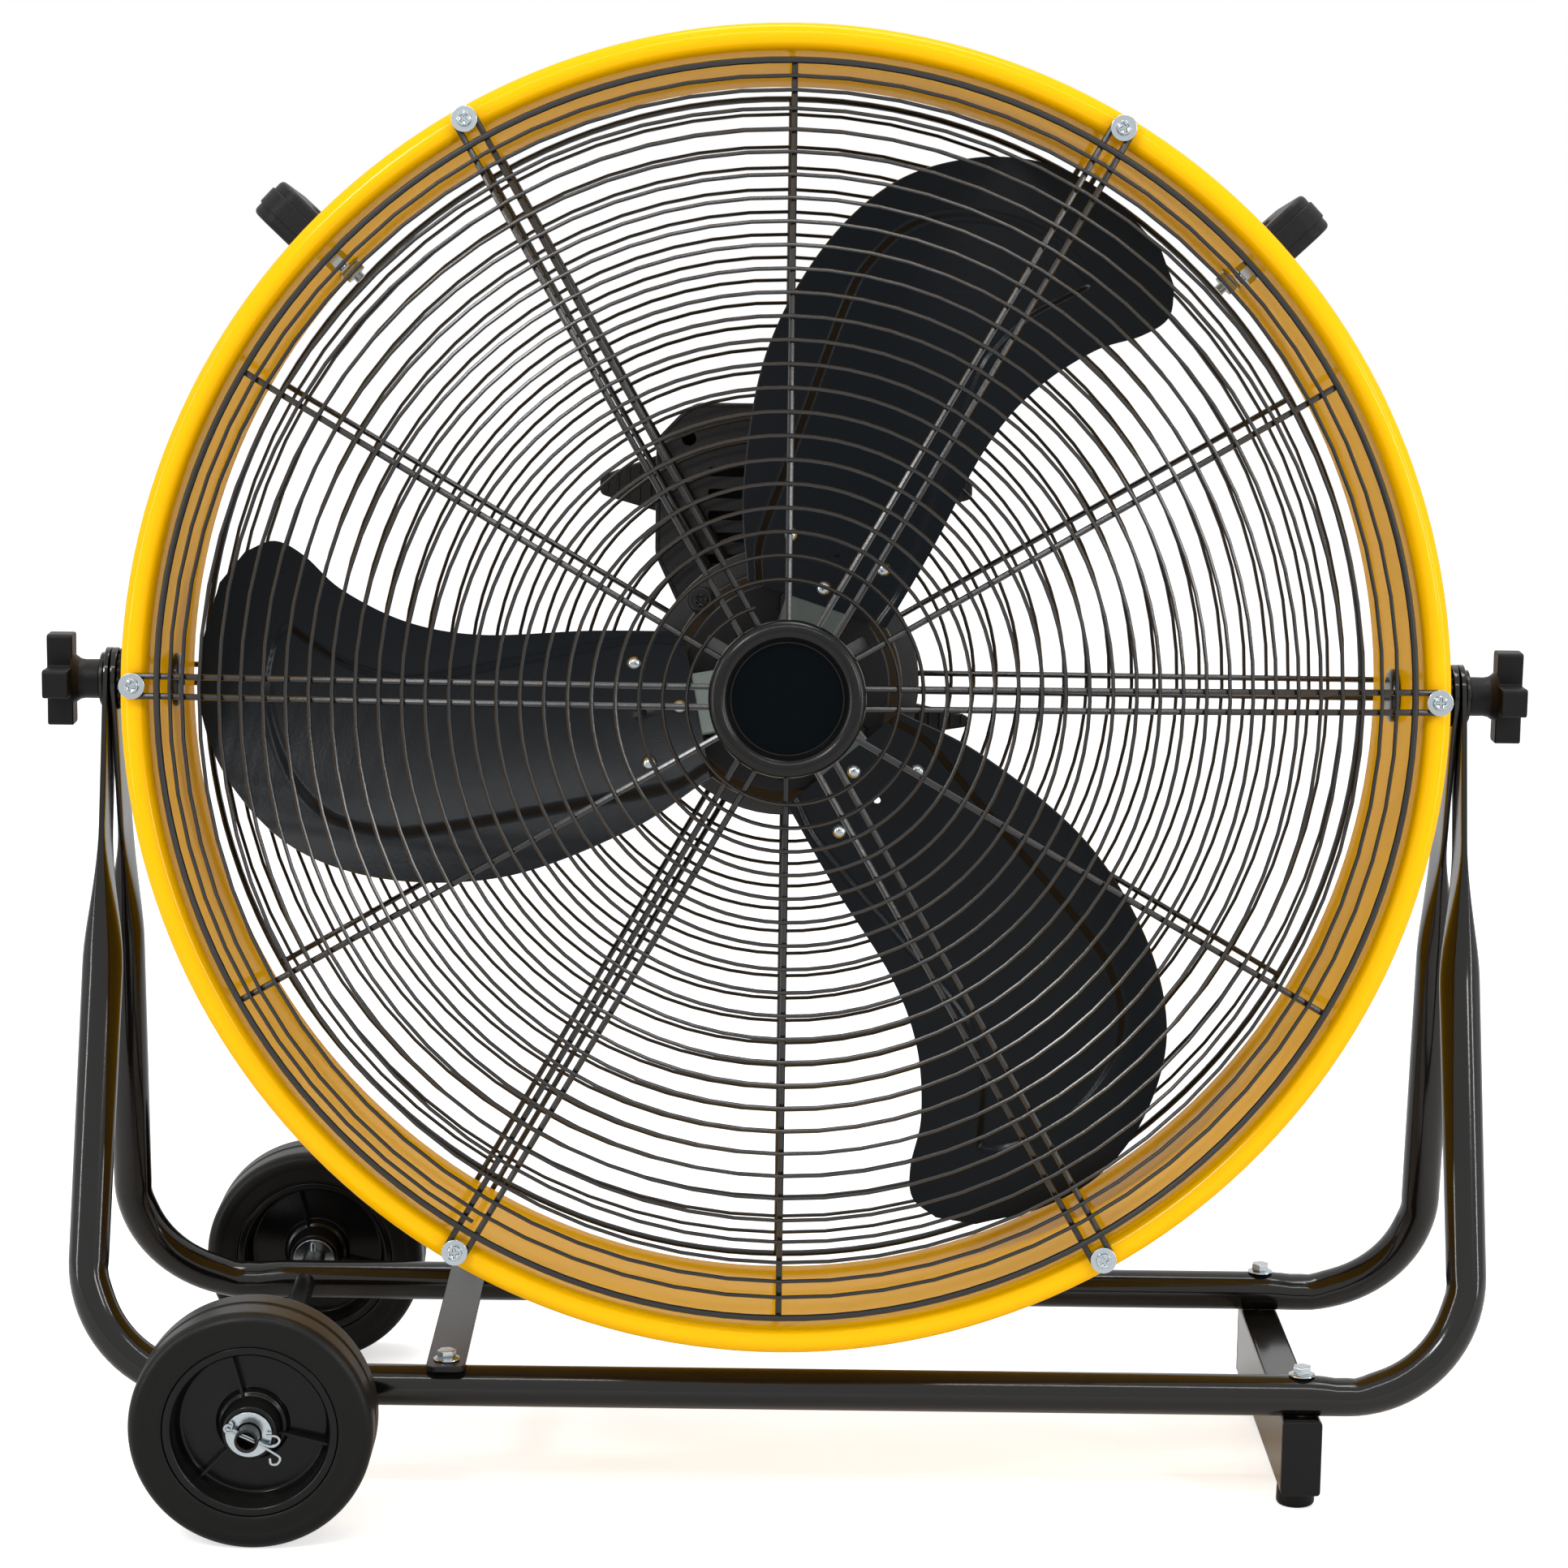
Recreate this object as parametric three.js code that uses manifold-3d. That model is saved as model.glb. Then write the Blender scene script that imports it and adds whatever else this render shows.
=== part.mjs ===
// A 24-inch drum fan: a rolled steel drum with wire guards, a three-blade rotor and a rear motor,
// hung between two U-shaped tubes on a pair of wheels and a foot bar.
// Millimetres, +Z up, the air blows towards -Y. The origin is on the floor, under the middle.
import * as THREE from "three";
import { mergeVertices } from "three/addons/utils/BufferGeometryUtils.js";
import Module from "manifold-3d";

const wasm = await Module();
wasm.setup();

// ---------------------------------------------------------------- driving dimensions
const SEAT = 0.3; // gap between touching pieces
const FIT = 0.3; // radial clearance of a pin in its hole

// drum, in its own frame: the origin is on the pivot axis, the drum's axis is Y
const PIVOT_HEIGHT = 415;
const TILT = THREE.MathUtils.degToRad(6.5); // front turned up
const DRUM_R = 322; // inside of the sheet
const DRUM_LENGTH = 182;
const SHEET = 1.5;
const BEAD_R = 7.2; // rolled front edge
const REAR_BEAD_R = 4.5; // rolled rear edge
const SWAGE_H = 1.8; // stiffening ridge near the rear edge
const SWAGE_HALF_W = 4;
const SWAGE_FROM_REAR = 30;

// wire guards
const WIRE_SIDES = 3;
const SPOKE_R = 1.6;
const RING_WIRE_R = 1.7;
const SPIRAL_WIRE_R = 1;
const RING_R = DRUM_R - 5.5;
const SPOKE_PAIR = 10; // between the two wires of a looped spoke
const FRONT_RISE = 45; // how far the middle stands out from the rim
const REAR_RISE = 10;
const FRONT_PITCH = 11.8;
const REAR_PITCH = 12.4;
const SPIRAL_START_GAP = 6.1; // from the ring wire to the spiral's outer end
const SPIRAL_EASE = 1.5; // turns over which the pitch opens up
const SPIRAL_TIGHT = 0.7; // share of the pitch missing at the outer end
const FRONT_SPIRAL_INNER_R = 47;
const REAR_SPIRAL_INNER_R = 82;
const SPIRAL_START = THREE.MathUtils.degToRad(241.8);
const GUARD_HUB_INNER_R = 22; // ring that the front spokes are welded to
const GUARD_HUB_R = 37;
const MOTOR_PLATE_R = 74; // plate that the rear spokes are welded to
const MOTOR_PLATE_HOLE_R = 36;
const PLATE = 4;
const CAP_R = 38.8;
const CAP_DEPTH = 16.5;
const CAP_RECESS_R = 28;
const CAP_RECESS = 7;

// rotor
const HUB_Y = -20;
const BLADE_T = 1.5;
const BLADE_SLOPE = 0.36;
const BLADE_CAMBER = 0.0014;
const BLADE_ANGLES = [70, 190, 310];
const RIVETS = [[56, 0], [76, 26], [76, -26]];
const BLADE_ROOT = 46; // a blade's places along its length are listed from the axis
const LISTED_TIP = 303;
const TIP_GAP = 19; // from the drum to the blade's farthest point along its length
const BLADE_ROWS = 13;
const PANEL_STEP_W = 7;
const PANEL_DEPTH = 2.4; // how far the stamped panel is sunk
const PILOT_HOLE_R = 2;
const PILOT_HOLE_U = 75;
const RIVET_R = 2.2;
const RIVET_HEAD_R = 4;
const SPIDER_T = 3;
const SPIDER_BOSS_R = 17;
const SPIDER_BOSS_L = 26;
const HUB_FRONT = HUB_Y - 8;
const HUB_REACH = 60; // long enough to cut right through the hub
const SHAFT_R = 6;

// motor and control box
const MOTOR_FRONT = 6;
const MOTOR_R = 62;
const MOTOR_WALL = 3;
const BELL_L = 24;
const BELL_NOSE = 4; // how far a bell's bearing boss stands out
const BELL_SHOULDER = 8;
const BEARING_R = 14;
const BEARING_L = 12;
const LUG_R = 7.5;
const LUG_L = 10;
const ROTOR_R = 30;
const BOX_DEPTH = 42;
const BOX_WALL = 3;
const BOX_HALF_W = 72;
const BOX_TOP = 152;
const BOX_CORNER = 34;
const BOX_FOOT_SHARE = 0.78; // the foot's width in proportion to the housing's
const EAR_L = 32;
const EAR_T = 8;
const FOOT_PILLAR_R = 7;
const BOX_BOTTOM = 34;
const KNOB_HEIGHT = 104; // speed knob above the fan's axis
const SPEED_KNOB_R = 17;
const SPINDLE_R = 5;
const SPEED_KNOB_L = 12;
const GLAND_R = 7;
const GLAND_BORE_R = 3.5;
const GLAND_L = 14;

// stand
const TUBE_R = 10.65;
const TUBE_SPREAD = 93; // bottom tubes from the middle, along Y
const AXLE_HEIGHT = 61.5;
const LEG_X = DRUM_R + 35.5;
const LEG_TOP_X = DRUM_R + 32.5;
const BEND_R = 62;
const BEND_STEPS = 5;
const EYE_T = 3.4; // flattened end
const EYE_W = 33.4;
const EYE_INNER_X = DRUM_R + 27.2;
const FLAT_L = 78; // flattened length below the pivot
const TAPER_L = 74;
const PIVOT_BOLT_R = 5;

// clamp knobs and toothed discs
const DISC_R = 16;
const DISC_T = 8.4;
const DISC_TEETH = 20;
const KNOB_WASHER_R = 14;
const KNOB_WASHER_T = 2;
const KNOB_HUB_R = 10.3;
const KNOB_HUB_L = 14;
const KNOB_ARM_SPAN = 48;
const KNOB_ARM_W = 15;
const KNOB_ARM_T = 13.5;

// foot bar and strap
const FOOT_BAR_X = LEG_X - 85.5;
const FOOT_BAR_W = 20.5;
const FOOT_BAR_H = 40;
const FOOT_BAR_WALL = 1.5;
const FOOT_BAR_HALF_L = 101;
const FOOT_CAP_T = 3;
const FOOT_Y = 84;
const FOOT_R = 10;
const STRAP_X = 186.5 - LEG_X;
const STRAP_W = 20;
const STRAP_T = 3;
const STRAP_END = 13; // beyond the tube's middle
const BOLT_R = 3;

// wheels
const WHEEL_X = 94 - LEG_X;
const WHEEL_Y = 153; // middle of a wheel
const WHEEL_R = AXLE_HEIGHT;
const WHEEL_W = 40;
const RIM_R = 44;
const RIM_WALL = 5;
const WEB_T = 4;
const WHEEL_HUB_R = 15;
const WHEEL_RIBS = 3;
const WHEEL_SIDES = 20;
const AXLE_R = 6;
const CLIP_Y = WHEEL_Y + WHEEL_W / 2 + 6;
const AXLE_END = CLIP_Y + 7;
const AXLE_WASHER_R = 11.7;
const AXLE_WASHER_T = 2;
const CLIP_WIRE_R = 1.1;

// grips
const GRIP_ANGLES = [43, 137];
const GRIP_L = 116;
const GRIP_W = 22;
const GRIP_OUTER_R = DRUM_R + 52;
const GRIP_BAR = 13;
const GRIP_FOOT = 24;
const GRIP_BOLT_Y = 45;

// ---------------------------------------------------------------- materials
const paint = (color, roughness, metalness) => () =>
  new THREE.MeshStandardMaterial({ color, roughness, metalness });
const YELLOW = paint(0xffc800, 0.35, 0.1);
const GLOSS_BLACK = paint(0x15120f, 0.25, 0.2);
const WIRE_BLACK = paint(0x1b1b1b, 0.4, 0.3);
const BLADE_BLACK = paint(0x15181d, 0.4, 0.3);
const ZINC = paint(0xb9bec4, 0.3, 0.9);
const PLASTIC = paint(0x1a1a1a, 0.6, 0);
const RUBBER = paint(0x141414, 0.8, 0);
const STEEL = paint(0x8d9094, 0.4, 0.8);

// ---------------------------------------------------------------- helpers
// A closed solid of a geometry, turned the right way out.
function solid(piece) {
  if (!piece.isBufferGeometry) return piece;
  const flat = piece.index ? piece.toNonIndexed() : piece;
  const bare = new THREE.BufferGeometry().setAttribute("position", flat.getAttribute("position"));
  const merged = mergeVertices(bare, 1e-4);
  const triVerts = new Uint32Array(merged.index.array);
  const build = () =>
    new wasm.Manifold(
      new wasm.Mesh({ numProp: 3, vertProperties: merged.attributes.position.array, triVerts }),
    );
  const made = build();
  if (made.volume() > 0) return made;
  for (let i = 0; i < triVerts.length; i += 3) {
    [triVerts[i + 1], triVerts[i + 2]] = [triVerts[i + 2], triVerts[i + 1]];
  }
  return build();
}

const fuse = (...pieces) => pieces.map(solid).reduce((sum, piece) => sum.add(piece));
const cut = (body, ...tools) => tools.map(solid).reduce((rest, tool) => rest.subtract(tool), solid(body));

function geometryOf(manifold) {
  const mesh = manifold.getMesh();
  return new THREE.BufferGeometry()
    .setAttribute("position", new THREE.BufferAttribute(new Float32Array(mesh.vertProperties), 3))
    .setIndex(new THREE.BufferAttribute(mesh.triVerts, 1));
}

function add(group, name, piece, material) {
  const geometry = geometryOf(solid(piece));
  geometry.computeVertexNormals();
  const mesh = new THREE.Mesh(geometry, material());
  mesh.name = name;
  group.add(mesh);
  return mesh;
}

const v2 = (x, y) => new THREE.Vector2(x, y);
const v3 = (x, y, z) => new THREE.Vector3(x, y, z);
const degrees = THREE.MathUtils.degToRad;
const range = (count) => [...Array(count).keys()];
// A point at a radius and angle in the plane across the drum's axis.
const polar = (radius, angle, y = 0) => v3(radius * Math.cos(angle), y, radius * Math.sin(angle));

// Revolved about Y from [radius, y] pairs, closed on itself or on the axis.
function lathe(profile, segments = 24) {
  const points = profile.map(([r, y]) => v2(r, y));
  const onAxis = profile[0][0] === 0 && profile.at(-1)[0] === 0;
  if (!onAxis) points.push(points[0].clone());
  return new THREE.LatheGeometry(points, segments);
}

const rod = (radius, from, to, segments = 12) =>
  lathe([[0, from], [radius, from], [radius, to], [0, to]], segments);
// Cuts a hole that a pin of this radius runs in: the clearance is kept at the middle of each flat.
const bore = (pinRadius, from, to, segments = 8) =>
  rod((pinRadius + FIT) / Math.cos(Math.PI / segments), from, to, segments);
const ring = (inner, outer, from, to, segments = 24) =>
  lathe([[inner, from], [outer, from], [outer, to], [inner, to]], segments);
const alongX = (geometry) => geometry.rotateZ(-Math.PI / 2);
const alongZ = (geometry) => geometry.rotateX(Math.PI / 2);

// Points on an arc about a centre, both ends included.
const arc = (cx, cy, radius, from, to, steps) =>
  range(steps + 1).map((i) => {
    const a = degrees(from + ((to - from) * i) / steps);
    return [cx + radius * Math.cos(a), cy + radius * Math.sin(a)];
  });

// A path sampled exactly at its stations, so that a wire bends where it is told to.
class StationPath extends THREE.Curve {
  constructor(stations) {
    super();
    this.stations = stations;
    this.spans = stations.length - 1;
  }
  getUtoTmapping(u) {
    return u;
  }
  getPoint(t, target = new THREE.Vector3()) {
    const i = Math.min(Math.floor(t * this.spans + 1e-6), this.spans - 1);
    return target.lerpVectors(this.stations[i], this.stations[i + 1], t * this.spans - i);
  }
  getTangent(t, target = new THREE.Vector3()) {
    const i = Math.round(t * this.spans);
    const before = this.stations[Math.max(i - 1, 0)];
    const here = this.stations[i];
    const after = this.stations[Math.min(i + 1, this.spans)];
    target.subVectors(after, here).normalize();
    return target.add(here.clone().sub(before).normalize()).normalize();
  }
}

function wire(stations, radius, sides) {
  const corners = range(sides).map((i) => {
    const a = (2 * Math.PI * i) / sides;
    return v2(radius * Math.cos(a), radius * Math.sin(a));
  });
  return new THREE.ExtrudeGeometry(new THREE.Shape(corners), {
    steps: stations.length - 1,
    extrudePath: new StationPath(stations),
  });
}

// A tube whose section changes on the way. Each station has its place, the unit vectors along and
// across it, its two half sizes, and how square its section is (1 is an ellipse, near 0 a rectangle).
function loft(stations, sides) {
  const geometry = new THREE.CylinderGeometry(1, 1, 1, sides, stations.length - 1);
  const place = geometry.getAttribute("position");
  const squared = (value, power) => Math.sign(value) * Math.abs(value) ** power;
  for (const i of range(place.count)) {
    const station = stations[Math.round((0.5 - place.getY(i)) * (stations.length - 1))];
    const { at, along, across, half, power } = station;
    const other = along.clone().cross(across);
    const point = at
      .clone()
      .addScaledVector(across, squared(place.getX(i), power) * half[0])
      .addScaledVector(other, squared(place.getZ(i), power) * half[1]);
    place.setXYZ(i, point.x, point.y, point.z);
  }
  return geometry;
}

function extrude(points, depth, holes = []) {
  const shape = new THREE.Shape(points.map(([x, y]) => v2(x, y)));
  shape.holes = holes.map((hole) => new THREE.Path(hole.map(([x, y]) => v2(x, y))));
  return new THREE.ExtrudeGeometry(shape, { depth, bevelEnabled: false });
}

// A bolt along +Z with its seat at z = 0: head and washer above, shank and nut below the clamped
// thickness, with the shank's end standing out of the nut.
function bolt(radius, clamped) {
  const washerT = 1.2;
  const headR = radius * 1.9;
  const nutT = radius * 1.6;
  return fuse(
    alongZ(rod(radius * 2.5, 0, washerT, 10)),
    alongZ(rod(headR, washerT - 0.1, washerT + radius * 1.3, 6)),
    alongZ(rod(radius, -clamped - nutT - radius * 1.4, 0.1, 6)),
    alongZ(rod(headR, -clamped - nutT, -clamped, 6)),
  );
}

// ---------------------------------------------------------------- scene graph
const fan = new THREE.Group();
fan.name = "drum_fan";
const stand = new THREE.Group();
const drum = new THREE.Group();
drum.position.set(0, 0, PIVOT_HEIGHT);
drum.rotation.x = -TILT;
const rotor = new THREE.Group();
drum.add(rotor);
fan.add(stand, drum);

// ---------------------------------------------------------------- stand
const TUBE_TOP = AXLE_HEIGHT + TUBE_R;
const LEG_LEAN = Math.atan2(TUBE_SPREAD, PIVOT_HEIGHT - AXLE_HEIGHT);
const LEG_L = Math.hypot(TUBE_SPREAD, PIVOT_HEIGHT - AXLE_HEIGHT);

// One leg of a U tube in the tube's own plane, from the eye down to the middle of the bottom run.
function legStations(eyeX) {
  const eyeR = EYE_W / 2;
  const station = (x, z, dirX, dirZ, flat, halfWidth) => ({
    at: v3(x, 0, z),
    along: v3(dirX, 0, dirZ),
    across: v3(-dirZ, 0, dirX),
    half: [
      THREE.MathUtils.lerp(TUBE_R, EYE_T / 2, flat),
      halfWidth ?? THREE.MathUtils.lerp(TUBE_R, eyeR, flat),
    ],
    power: THREE.MathUtils.lerp(1, 0.3, flat),
  });
  const eye = [0.95, 0.6, 0].map((share) =>
    station(eyeX, share * eyeR, 0, -1, 1, eyeR * Math.sqrt(1 - share * share)),
  );
  const taper = [0, 0.33, 0.67, 1].map((share) => {
    const eased = share * share * (3 - 2 * share);
    const x = THREE.MathUtils.lerp(eyeX, LEG_TOP_X, eased);
    return station(x, -FLAT_L - TAPER_L * share, 0, -1, 1 - eased);
  });
  const bend = arc(LEG_X - BEND_R, -LEG_L + BEND_R, BEND_R, 0, -90, BEND_STEPS).map(([x, z], i) => {
    const a = degrees((-90 / BEND_STEPS) * i);
    return station(x, z, Math.sin(a), -Math.cos(a), 0);
  });
  return [...eye, ...taper, ...bend];
}

function standTube(side, eyeX) {
  const down = legStations(eyeX);
  const up = down.toReversed().map(({ at, along, across, half, power }) => ({
    at: v3(-at.x, 0, at.z),
    along: v3(along.x, 0, -along.z),
    across: v3(-across.x, 0, across.z),
    half,
    power,
  }));
  const tube = loft([...down, ...up], 8);
  tube.rotateX(side * LEG_LEAN);
  tube.translate(0, 0, PIVOT_HEIGHT);
  const pivotHole = alongX(bore(PIVOT_BOLT_R, -2 * LEG_X, 2 * LEG_X));
  pivotHole.translate(0, 0, PIVOT_HEIGHT);
  const axleHole = bore(AXLE_R, -2 * TUBE_R, 2 * TUBE_R);
  axleHole.translate(WHEEL_X, side * TUBE_SPREAD, AXLE_HEIGHT);
  const boltHoles = [STRAP_X, FOOT_BAR_X].map((x) =>
    alongZ(bore(BOLT_R, -2 * TUBE_R, 2 * TUBE_R, 6)).translate(x, side * TUBE_SPREAD, AXLE_HEIGHT),
  );
  return cut(tube, pivotHole, axleHole, ...boltHoles);
}

const EYE_OUTER_X = EYE_INNER_X + EYE_T + SEAT;
add(stand, "front_frame_tube", standTube(-1, EYE_OUTER_X + EYE_T / 2), GLOSS_BLACK);
add(stand, "rear_frame_tube", standTube(1, EYE_INNER_X + EYE_T / 2), GLOSS_BLACK);

// The strap lies across both bottom tubes, with round ends.
function crossStrap() {
  const reach = TUBE_SPREAD + STRAP_END - STRAP_W / 2;
  const outline = [
    ...arc(0, reach, STRAP_W / 2, 0, 180, 6),
    ...arc(0, -reach, STRAP_W / 2, 180, 360, 6),
  ];
  const plate = extrude(outline, STRAP_T).translate(STRAP_X, 0, TUBE_TOP + SEAT);
  const holes = [-1, 1].map((side) =>
    alongZ(bore(BOLT_R, 0, 3 * TUBE_R, 6)).translate(STRAP_X, side * TUBE_SPREAD, AXLE_HEIGHT),
  );
  return cut(plate, ...holes);
}
add(stand, "cross_strap", crossStrap(), GLOSS_BLACK);

// The foot bar is a rectangular tube under both bottom tubes.
const FOOT_BAR_TOP = AXLE_HEIGHT - TUBE_R - SEAT;
const FOOT_BAR_BOTTOM = FOOT_BAR_TOP - FOOT_BAR_H;
function footBar() {
  const outer = new THREE.BoxGeometry(FOOT_BAR_W, 2 * FOOT_BAR_HALF_L, FOOT_BAR_H);
  const inner = new THREE.BoxGeometry(
    FOOT_BAR_W - 2 * FOOT_BAR_WALL,
    3 * FOOT_BAR_HALF_L,
    FOOT_BAR_H - 2 * FOOT_BAR_WALL,
  );
  const boltHoles = [-1, 1].map((side) =>
    alongZ(bore(BOLT_R, 0, FOOT_BAR_H, 6)).translate(0, side * TUBE_SPREAD, 0),
  );
  const footHoles = [-1, 1].map((side) =>
    alongZ(bore(FOOT_R / 2, -FOOT_BAR_H, 0, 8)).translate(0, side * FOOT_Y, 0),
  );
  const bar = cut(outer, inner, ...boltHoles, ...footHoles);
  return bar.translate([FOOT_BAR_X, 0, FOOT_BAR_TOP - FOOT_BAR_H / 2]);
}
add(stand, "foot_bar", footBar(), GLOSS_BLACK);

for (const [place, side] of [["front", -1], ["rear", 1]]) {
  const flange = new THREE.BoxGeometry(FOOT_BAR_W, FOOT_CAP_T, FOOT_BAR_H);
  flange.translate(0, FOOT_BAR_HALF_L + SEAT + FOOT_CAP_T / 2, 0);
  const plugL = 5;
  const plugGap = 2 * (FOOT_BAR_WALL + SEAT);
  const plug = new THREE.BoxGeometry(FOOT_BAR_W - plugGap, plugL, FOOT_BAR_H - plugGap);
  plug.translate(0, FOOT_BAR_HALF_L + FOOT_CAP_T - plugL / 2, 0);
  const endCap = fuse(flange, plug).rotate([0, 0, side < 0 ? 180 : 0]);
  add(
    stand,
    `foot_bar_cap_${place}`,
    endCap.translate([FOOT_BAR_X, 0, FOOT_BAR_TOP - FOOT_BAR_H / 2]),
    PLASTIC,
  );

  // A pressed-in rubber foot: its stem goes through the bar's lower wall.
  const stemTop = FOOT_BAR_BOTTOM + FOOT_BAR_WALL + 3;
  const foot = lathe(
    [
      [0, 0],
      [FOOT_R - 1, 0],
      [FOOT_R, 1],
      [FOOT_R, FOOT_BAR_BOTTOM - SEAT],
      [FOOT_R / 2, FOOT_BAR_BOTTOM - SEAT],
      [FOOT_R / 2, stemTop],
      [0, stemTop],
    ],
    14,
  );
  add(stand, `rubber_foot_${place}`, alongZ(foot).translate(FOOT_BAR_X, side * FOOT_Y, 0), RUBBER);

  const strapBolt = bolt(BOLT_R, STRAP_T + 2 * TUBE_R + 3 * SEAT);
  const strapSeat = TUBE_TOP + STRAP_T + 2 * SEAT;
  add(
    stand,
    `strap_bolt_${place}`,
    strapBolt.translate([STRAP_X, side * TUBE_SPREAD, strapSeat]),
    ZINC,
  );
  const footBolt = bolt(BOLT_R, 2 * TUBE_R + FOOT_BAR_WALL + 3 * SEAT);
  add(
    stand,
    `foot_bar_bolt_${place}`,
    footBolt.translate([FOOT_BAR_X, side * TUBE_SPREAD, TUBE_TOP + SEAT]),
    ZINC,
  );
}

// ---------------------------------------------------------------- axle and wheels
const WHEEL_IN = WHEEL_Y - WHEEL_W / 2;
const WHEEL_OUT = WHEEL_Y + WHEEL_W / 2;
const INNER_PIN_Y = WHEEL_IN - AXLE_WASHER_T - 2 * SEAT - 2.2;

// The axle carries an inner washer and cross pin for each wheel, and is cross-drilled for the clips.
function axle() {
  const pieces = [rod(AXLE_R, -AXLE_END, AXLE_END, 10)];
  for (const side of [-1, 1]) {
    const from = side * (WHEEL_IN - SEAT - AXLE_WASHER_T);
    const to = side * (WHEEL_IN - SEAT);
    pieces.push(rod(AXLE_WASHER_R, Math.min(from, to), Math.max(from, to), 10));
    const pin = alongZ(rod(1.6, -AXLE_R - 5, AXLE_R + 5, 6)).translate(0, side * INNER_PIN_Y, 0);
    pieces.push(pin);
  }
  const clipHoles = [-1, 1].map((side) =>
    alongX(bore(CLIP_WIRE_R, -2 * AXLE_R, 2 * AXLE_R, 6)).translate(0, side * CLIP_Y, 0),
  );
  return cut(fuse(...pieces), ...clipHoles).translate([WHEEL_X, 0, AXLE_HEIGHT]);
}
add(stand, "axle", axle(), STEEL);

// Hairpin clip: the straight leg goes through the axle, the waved leg springs over it.
function hairpinClip(side) {
  const over = AXLE_R + CLIP_WIRE_R + SEAT;
  const stations = [
    [-15, 0],
    [13, 0],
    [18, 1.5],
    [20.5, 5],
    [18.5, 8.5],
    [14.5, 8],
    [10, 4.6],
    [6, over - 1],
    [2, over + 1.4],
    [-4, over + 1.2],
    [-9, 5.6],
    [-14, 8],
  ].map(([x, z]) => v3(x, 0, z));
  return wire(stations, CLIP_WIRE_R, 4).translate(WHEEL_X, side * CLIP_Y, AXLE_HEIGHT);
}

// Hub, dished web and rim of a wheel in one moulding, with thin ribs on both faces.
function wheelHub() {
  const half = WHEEL_W / 2;
  const rimHalf = half - 1.5;
  const inRim = RIM_R - RIM_WALL;
  const profile = [
    [AXLE_R + FIT, -half],
    [WHEEL_HUB_R - 1.5, -half],
    [WHEEL_HUB_R, -WEB_T / 2],
    [inRim - 1.5, -WEB_T / 2],
    [inRim, -rimHalf],
    [RIM_R, -rimHalf],
    [RIM_R, rimHalf],
    [inRim, rimHalf],
    [inRim - 1.5, WEB_T / 2],
    [WHEEL_HUB_R, WEB_T / 2],
    [WHEEL_HUB_R - 1.5, half],
    [AXLE_R + FIT, half],
  ];
  const ribs = range(WHEEL_RIBS).map((i) => {
    const rib = new THREE.BoxGeometry(inRim - WHEEL_HUB_R + 1, 2 * 9, 2);
    rib.translate((inRim + WHEEL_HUB_R) / 2, 0, 0);
    return rib.rotateY(-degrees(106 + i * 120));
  });
  return fuse(lathe(profile, WHEEL_SIDES), ...ribs);
}

// Smooth tyre with round shoulders and a shallow groove round the tread.
function tyre() {
  const half = WHEEL_W / 2;
  const shoulder = 6;
  const inner = RIM_R + SEAT;
  const groove = 0.8;
  const profile = [
    [inner, -half + 1],
    [WHEEL_R - shoulder, -half],
    ...arc(WHEEL_R - shoulder, -half + shoulder, shoulder, -60, 0, 2),
    [WHEEL_R, -2],
    [WHEEL_R - groove, 0],
    [WHEEL_R, 2],
    ...arc(WHEEL_R - shoulder, half - shoulder, shoulder, 0, 60, 2),
    [WHEEL_R - shoulder, half],
    [inner, half - 1],
  ];
  return lathe(profile, WHEEL_SIDES);
}

for (const [place, side] of [["front", -1], ["rear", 1]]) {
  const wheel = new THREE.Group();
  wheel.position.set(WHEEL_X, side * WHEEL_Y, AXLE_HEIGHT);
  fan.add(wheel);
  add(wheel, `wheel_${place}`, wheelHub(), PLASTIC);
  add(wheel, `tyre_${place}`, tyre(), RUBBER);
  const from = side * (WHEEL_OUT + SEAT);
  const to = side * (WHEEL_OUT + SEAT + AXLE_WASHER_T);
  const washer = ring(AXLE_R + FIT, AXLE_WASHER_R, Math.min(from, to), Math.max(from, to), 14);
  add(stand, `wheel_washer_${place}`, washer.translate(WHEEL_X, 0, AXLE_HEIGHT), ZINC);
  add(stand, `wheel_clip_${place}`, hairpinClip(side), ZINC);
}

// ---------------------------------------------------------------- pivots and clamp knobs
const SHELL_OUT = DRUM_R + SHEET;
const DISC_FACE_X = EYE_INNER_X - SEAT;
const WASHER_X = EYE_OUTER_X + EYE_T + SEAT;
const KNOB_X = WASHER_X + KNOB_WASHER_T + SEAT;
const BOLT_END = KNOB_X + KNOB_HUB_L + KNOB_ARM_T / 2;
const PAD_R = 14;
// the drum is rolled in this many flats, so a pad inside it and a nut stand off its middle line
const DRUM_SIDES = 40;
const INNER_FLAT_R = DRUM_R * Math.cos(Math.PI / DRUM_SIDES);

// Toothed disc on a stub that stands on the drum's side.
function toothedDisc() {
  const rim = range(2 * DISC_TEETH).map((i) => {
    const a = (Math.PI * i) / DISC_TEETH;
    const r = i % 2 ? DISC_R - 1.6 : DISC_R;
    return [r * Math.cos(a), r * Math.sin(a)];
  });
  const disc = extrude(rim, DISC_T).rotateY(Math.PI / 2).translate(DISC_FACE_X - DISC_T, 0, 0);
  // the drum curves away from the stub, so the stub starts on its highest line
  const stub = alongX(rod(11, SHELL_OUT + SEAT, DISC_FACE_X - 1, 12));
  return cut(fuse(disc, stub), alongX(bore(PIVOT_BOLT_R, 0, 2 * DRUM_R)));
}

// The pad inside the drum is one piece with the bolt that carries the knob.
function pivotBolt() {
  const padOut = DRUM_R - PAD_R * Math.tan(Math.PI / DRUM_SIDES) - SEAT;
  return fuse(
    alongX(rod(PAD_R, padOut - 4, padOut, 16)),
    alongX(rod(PIVOT_BOLT_R, padOut - 1, BOLT_END - 1, 12)),
  );
}

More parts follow.
